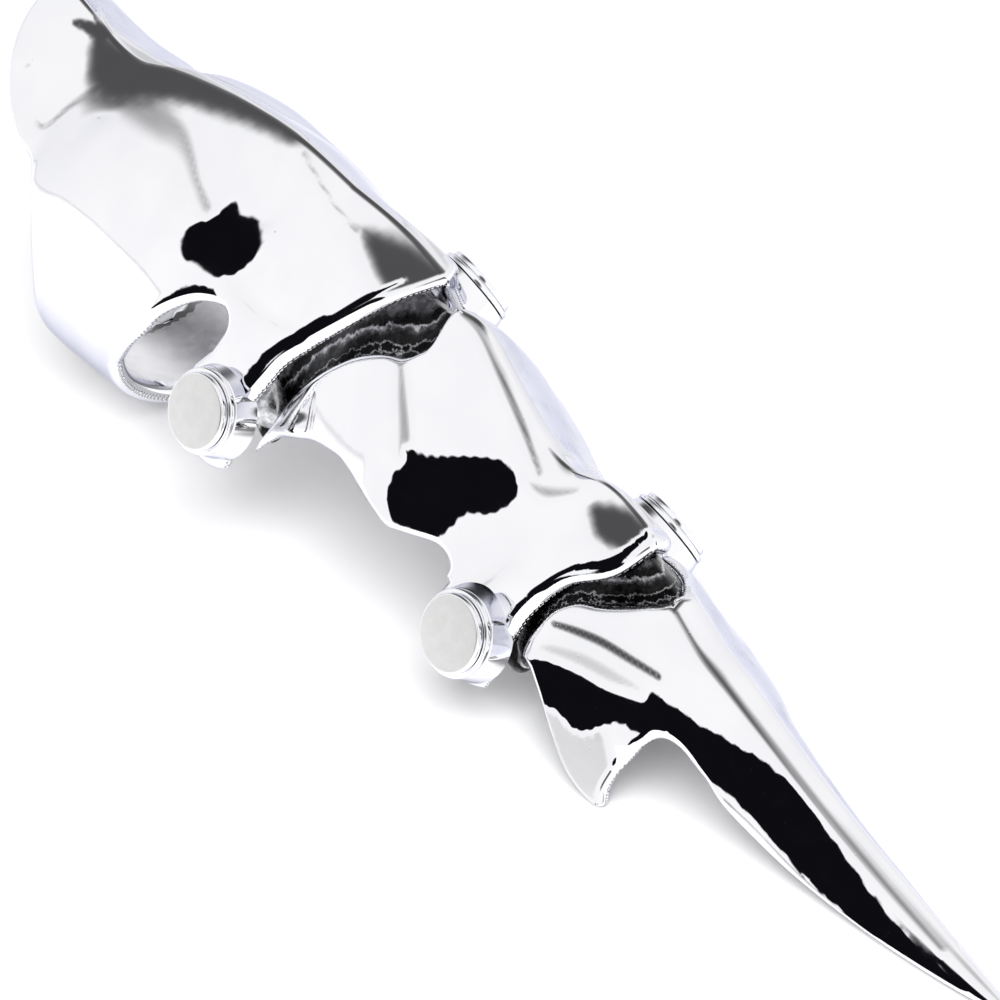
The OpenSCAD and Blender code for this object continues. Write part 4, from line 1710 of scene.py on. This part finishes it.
@dataclass
class Tongue(Shell):
    """The rough tongue that runs back from a shell's rim, under the lip of the shell before it.

    Its face lies a step inside its shell. Its edge is a loop of (forward, up) shares.
    """

    wall: float = SIZES.tongue_wall
    shell: Shell | None = None
    edge: Rows = ()
    length: float = 1.0
    height: float = 1.0
    hinge_x: float = 0.0

    def form(self, x: np.ndarray) -> tuple[np.ndarray, ...]:
        """Gives the shell's section, a step further in.

        Args:
            x: Places along the shell.

        Returns:
            Half width, spring height, ridge, belly, fullness and crown.
        """
        w, spring, ridge, belly, full, crown = self.shell.form(x)
        step = SIZES.tongue_step
        return w - step, spring, ridge - step, belly - step, full, crown

    def hollow(self, x: np.ndarray, z: np.ndarray) -> np.ndarray:
        """Gives the hollows of the shell."""
        return self.shell.hollow(x, z)

    def from_shares(self, shares: Rows, steps: int) -> np.ndarray:
        """Gives a smooth line through (forward, up) shares of the shell's length and height."""
        whole = np.array([self.length, self.height])
        return smooth(np.array(shares) * whole, steps) + np.array([self.hinge_x, 0])

    def outline(self) -> np.ndarray:
        """Gives the side outline."""
        return self.from_shares(self.edge, 6)

    def metals(self, finishes: Finishes) -> list:
        """Gives the finishes of a tongue, which lies in the shade of a lip: that shade is painted into its
        finish.
        """
        return [finishes.polish, finishes.shaded]

    def marks(self, points: np.ndarray) -> np.ndarray:
        """Gives how far each point lies from its shell's rim, seen from the side.

        Args:
            points: The points, in the hinge frame.

        Returns:
            The distances, in millimetres.
        """
        rim = self.from_shares(self.shell.rim, 5)
        far, _ = distance_to(points[:, [0, 2]], rim[:-1], rim[1:])
        return far.astype(np.float32)

    def slots(self, within: np.ndarray) -> np.ndarray:
        """Gives the whole tongue the cast finish with the painted shade and painted highlight lines."""
        return np.ones(len(within), int)


def middle_tongue() -> Tongue:
    """Makes the middle shell's tongue, which runs on to its ears.

    Returns:
        The tongue.
    """
    edge = (
        (0.24, 1.10), (0.24, 0.93), (0.225, 0.84), (0.20, 0.77), (0.15, 0.67), (0.095, 0.53), (0.05, 0.39),
        (0.02, 0.27), (0.005, 0.18), (0.005, -0.10), (0.035, -0.17), (0.07, -0.17), (0.092, -0.07),
        (0.12, 0.07), (0.15, 0.20), (0.18, 0.32), (0.22, 0.44), (0.28, 0.56), (0.34, 0.66), (0.38, 0.74),
        (0.40, 0.84), (0.40, 1.10),
    )
    return Tongue(
        "middle_tongue", Body.MIDDLE, 0.0, 0.41 * SIZES.reach,
        shell=MiddleShell(), edge=edge, length=SIZES.reach, height=SIZES.middle_h,
    )


def claw_tongue() -> Tongue:
    """Makes the claw's tongue, which runs on to its ears.

    Returns:
        The tongue.
    """
    edge = (
        (0.16, 1.20), (0.16, 0.92), (0.145, 0.82), (0.115, 0.73), (0.075, 0.64), (0.04, 0.50),
        (0.018, 0.37), (0.005, 0.26), (0.005, -0.15), (0.035, -0.22), (0.07, -0.20), (0.092, 0.00),
        (0.105, 0.20), (0.125, 0.37), (0.16, 0.49), (0.19, 0.56), (0.225, 0.65), (0.25, 0.74),
        (0.265, 0.85), (0.265, 1.20),
    )
    return Tongue(
        "claw_tongue", Body.CLAW, SIZES.link, SIZES.link + 0.27 * SIZES.claw_len,
        shell=ClawShell(), edge=edge, length=SIZES.claw_len, height=SIZES.claw_h, hinge_x=SIZES.link,
    )


@dataclass
class HingePart:
    """A turned piece of a hinge, on one flank or on both. The span is between the two lugs."""

    name: str
    body: Body
    hinge_x: float
    span: float

    def leaning(self, flank: Flank) -> tuple[np.ndarray, np.ndarray]:
        """Gives the middle of a lug's outer face, and the direction out of it.

        Args:
            flank: The side of the ring.

        Returns:
            The place and the direction, in the hinge frame.
        """
        lean = math.radians(SIZES.lean)
        axis = np.array([0, flank.value * math.cos(lean), math.sin(lean)])
        return np.array([self.hinge_x, flank.value * self.span / 2, 0]), axis

    def level(self, flank: Flank) -> tuple[np.ndarray, np.ndarray]:
        """Gives the middle of the hinge, and the hinge axis towards a flank."""
        return np.array([self.hinge_x, 0, 0]), np.array([0, flank.value, 0])


@dataclass
class Rivet(HingePart):
    """One rivet: face disc, groove, collar, pin and flattened tail."""

    node: str
    flank: Flank
    # The collar's small bevel, and how far below its top the head's face starts
    bevel: Point = (0.08, 0.12)
    face_depth: float = 0.03

    def head(self) -> tuple[np.ndarray, list]:
        """Turns the head and its collar, leaning with the lug.

        Returns:
            The points in the hinge frame, and the faces.
        """
        z = SIZES
        low = z.pad_t + z.seat_gap
        neck = low + z.collar_t
        step = neck + z.groove_t
        top = step + z.head_t
        waist, soft = z.head_r - z.groove_d, 0.3 * z.head_edge
        profile = [
            (0, low), (z.collar_r, low), (z.collar_r, neck - self.bevel[1]),
            (z.collar_r - self.bevel[0], neck), (waist, neck), (waist, step), (z.head_r, step),
            (z.head_r, top - z.head_edge), (z.head_r - soft, top - soft),
            (z.head_r - z.head_edge, top), (0, top),
        ]
        return Lathe(profile, turns=128).mesh(*self.leaning(self.flank), corner=0.05)

    def shank(self) -> tuple[np.ndarray, list]:
        """Turns the pin and the tail along the hinge axis.

        Returns:
            The points in the hinge frame, and the faces.
        """
        z = SIZES
        tail = z.ear_floor(self.span) - z.seat_gap
        end = tail - z.tail_t
        stack = z.pad_t + z.collar_t + z.groove_t + z.head_t
        lean = math.radians(z.lean)
        top = self.span / 2 + stack / math.cos(lean) - z.pin_r * math.tan(lean)
        profile = [
            (0, end), (z.tail_r * 0.8, end), (z.tail_r, tail - 0.4 * z.tail_t), (z.tail_r, tail),
            (z.pin_r, tail), (z.pin_r, top), (0, top),
        ]
        return Lathe(profile, turns=48).mesh(*self.level(self.flank), corner=0.15)

    def build(self, finishes: Finishes) -> bpy.types.Object:
        """Builds and dresses the rivet, and puts it on its body.

        Args:
            finishes: The finishes to dress it in.

        Returns:
            The object.
        """
        head = self.head()
        points, faces = joined([head, self.shank()])
        centre, axis = self.leaning(self.flank)
        heights = (points - centre) @ axis
        last = len(head[0])
        top = heights[:last].max() - self.face_depth
        slots = np.array([int(f[0] < last and min(heights[i] for i in f) > top) for f in faces])
        metals = [finishes.polish, finishes.face]
        made = mesh_object(self.name, HINGES.placed(points), faces, None, metals, slots)
        made.data.validate()
        return fitted(made, self.body, self.node)


@dataclass
class Pads(HingePart):
    """The round pads that the rivets of one hinge sit on."""

    def build(self, finishes: Finishes) -> bpy.types.Object:
        """Builds both pads, and puts them on their body.

        Args:
            finishes: The finishes to dress it in.

        Returns:
            The object.
        """
        r, t = SIZES.collar_r, SIZES.pad_t
        turned = Lathe([(r + SIZES.pad_flare, -SIZES.wall / 2), (r, t), (0, t)], turns=128)
        points, faces = joined([turned.mesh(*self.leaning(flank), corner=0.14) for flank in Flank])
        made = mesh_object(self.name, HINGES.placed(points), faces, None, [finishes.polish])
        return fitted(made, self.body)


@dataclass
class Ears(HingePart):
    """The two domed ears that turn inside a pair of lugs."""

    def build(self, finishes: Finishes) -> bpy.types.Object:
        """Builds both ears, with the pin's hole through them, and puts them on their body.

        Args:
            finishes: The finishes to dress it in.

        Returns:
            The object.
        """
        z = SIZES
        low, top, hole = z.ear_floor(self.span), z.ear_top(self.span), z.pin_r + z.pin_play
        face = top - hole * math.tan(math.radians(z.lean))
        profile = [(hole, low), (z.ear_r, low), (z.ear_r, low + z.ear_rim), (hole, face), (hole, low)]
        turned = Lathe(profile, turns=64)
        points, faces = joined([turned.mesh(*self.level(flank), corner=0.25) for flank in Flank])
        made = mesh_object(self.name, HINGES.placed(points), faces, None, [finishes.inside])
        return fitted(made, self.body)


# ---- studio


@dataclass(frozen=True)
class Zone:
    """A round patch of the surroundings that is darker than the rest.

    The direction is in the hinge frame.
    """

    towards: Direction
    radius: float
    keep: float
    soft: float


@dataclass
class Studio:
    """A pale floor, a white tent with a few dark openings, and the camera."""

    zones: tuple[Zone, ...] = (
        Zone((-0.18, -0.95, 0.22), 19, 0.0, 2.2),
        Zone((0.52, -0.455, 0.72), 14, 0.10, 5.0),
        Zone((-0.75, 0.22, 0.62), 20, 0.08, 18.0),
        Zone((-0.75, 0.22, 0.62), 62, 0.95, 26.0),
    )
    # Unit directions of the camera's right, up and back, and the eye, in the hinge frame
    right: Direction = (0.5909, 0.8030, 0.0779)
    up: Direction = (-0.6138, 0.3848, 0.6894)
    shift: Direction = (-11.472, 11.204, -432.268)
    scale: float = 1.074
    lift: float = 1.0096
    lens: float = 216.0
    # The tent's openings and cloth
    black: Colour = (0.004, 0.004, 0.006)
    white: Colour = (0.985, 0.985, 1.0)
    # In metres: half the floor's side, and the play between the floor and the ring
    floor_reach: float = 4.0
    floor_gap: float = 2e-5
    lamp_at: Direction = (0.75, -0.50, 1.25)
    lamp_size: float = 1.2
    lamp_power: float = 22.0

    def camera(self) -> None:
        """Places the camera as the photograph was taken."""
        right = unit(np.array(self.right))
        back = unit(np.cross(right, np.array(self.up)))
        up = np.cross(back, right)
        turn = np.stack([right, up, back])
        eye = -turn.T @ np.array(self.shift) * self.scale + np.array([0, 0, self.lift])
        data = bpy.data.cameras.new("camera")
        data.lens, data.sensor_width = self.lens, 36.0
        data.clip_start, data.clip_end = 0.01, 20
        made = bpy.data.objects.new("camera", data)
        matrix = Matrix(HINGES.turned(turn).T.tolist()).to_4x4()
        matrix.translation = Vector(HINGES.placed(eye[None])[0])
        made.matrix_world = matrix
        bpy.context.scene.collection.objects.link(made)
        bpy.context.scene.camera = made

    def floor(self) -> None:
        """Lays the pale floor just under the ring."""
        r = Recipe("pale_floor", metal=False)
        r.shader.inputs["Roughness"].default_value = 0.9
        r.shader.inputs["Specular IOR Level"].default_value = 0.1
        shade = r.between(r.noise(3, 2), 0.3, 0.7, 0, 1)
        paint = r.finish(r.tint(shade, (0.90, 0.90, 0.905), (0.93, 0.93, 0.935)), None, None)
        z, far = -SIZES.band_r * MM - self.floor_gap, self.floor_reach
        points = np.array([[-far, -far, z], [far, -far, z], [far, far, z], [-far, far, z]])
        mesh_object("floor", points, [(0, 1, 2, 3)], None, [paint])

    def tent(self) -> None:
        """Surrounds the ring with white cloth, and leaves the dark openings."""
        world = bpy.data.worlds.new("tent")
        bpy.context.scene.world = world
        world.use_nodes = True
        n = Nodes(world.node_tree)
        towards = n.add("VectorMath", operation="NORMALIZE")
        n.join(n.add("TexCoord").outputs["Generated"], towards.inputs[0])
        light = 1.0
        for zone in self.zones:
            dot = n.add("VectorMath", operation="DOT_PRODUCT")
            dot.inputs[1].default_value = HINGES.turned(unit(np.array(zone.towards))).tolist()
            n.join(towards.outputs[0], dot.inputs[0])
            outer, inner = (math.cos(math.radians(zone.radius + soft)) for soft in (zone.soft, -zone.soft))
            share = n.between(dot.outputs["Value"], outer, inner, 1.0, zone.keep)
            light = n.reckon("MULTIPLY", light, share)
        back = n.tree.nodes["Background"]
        n.join(n.tint(light, self.black, self.white), back.inputs["Color"])
        back.inputs["Strength"].default_value = 1.0

    def lamp(self) -> None:
        """Hangs a broad soft lamp beside the camera, so that the shadows stay faint."""
        data = bpy.data.lights.new("soft_lamp", "AREA")
        data.shape, data.size, data.energy = "DISK", self.lamp_size, self.lamp_power
        made = bpy.data.objects.new("soft_lamp", data)
        made.location = self.lamp_at
        made.rotation_euler = Vector(made.location).to_track_quat("Z", "Y").to_euler()
        made.visible_glossy = False
        bpy.context.scene.collection.objects.link(made)

    def build(self) -> None:
        """Builds the whole studio."""
        bpy.context.scene.view_settings.view_transform = "Standard"
        self.camera()
        self.floor()
        self.tent()
        self.lamp()


def main() -> None:
    """Builds the ring and the studio, and reports each piece."""
    logging.basicConfig(level=logging.INFO, format="%(message)s")
    Studio().build()
    finishes = Finishes.made()
    pieces = [
        BaseShell(),
        MiddleShell(),
        ClawShell(),
        Pads("base_pads", Body.BASE, 0.0, SIZES.base_span),
        Pads("middle_pads", Body.MIDDLE, SIZES.link, SIZES.middle_span),
        middle_tongue(),
        claw_tongue(),
        Ears("middle_ears", Body.MIDDLE, 0.0, SIZES.base_span),
        Ears("claw_ears", Body.CLAW, SIZES.link, SIZES.middle_span),
    ]
    hinges = ((1, Body.BASE, 0.0, SIZES.base_span), (2, Body.MIDDLE, SIZES.link, SIZES.middle_span))
    for number, body, x, span in hinges:
        for flank in Flank:
            node = f"rivet_{number}_{flank.name.lower()}"
            pieces.append(Rivet(node + "_turned", body, x, span, node, flank))
    for piece in pieces:
        made = piece.build(finishes)
        LOG.info("%s: %d faces on %s", made.name, len(made.data.polygons), piece.body.value)


if __name__ == "__main__":
    main()
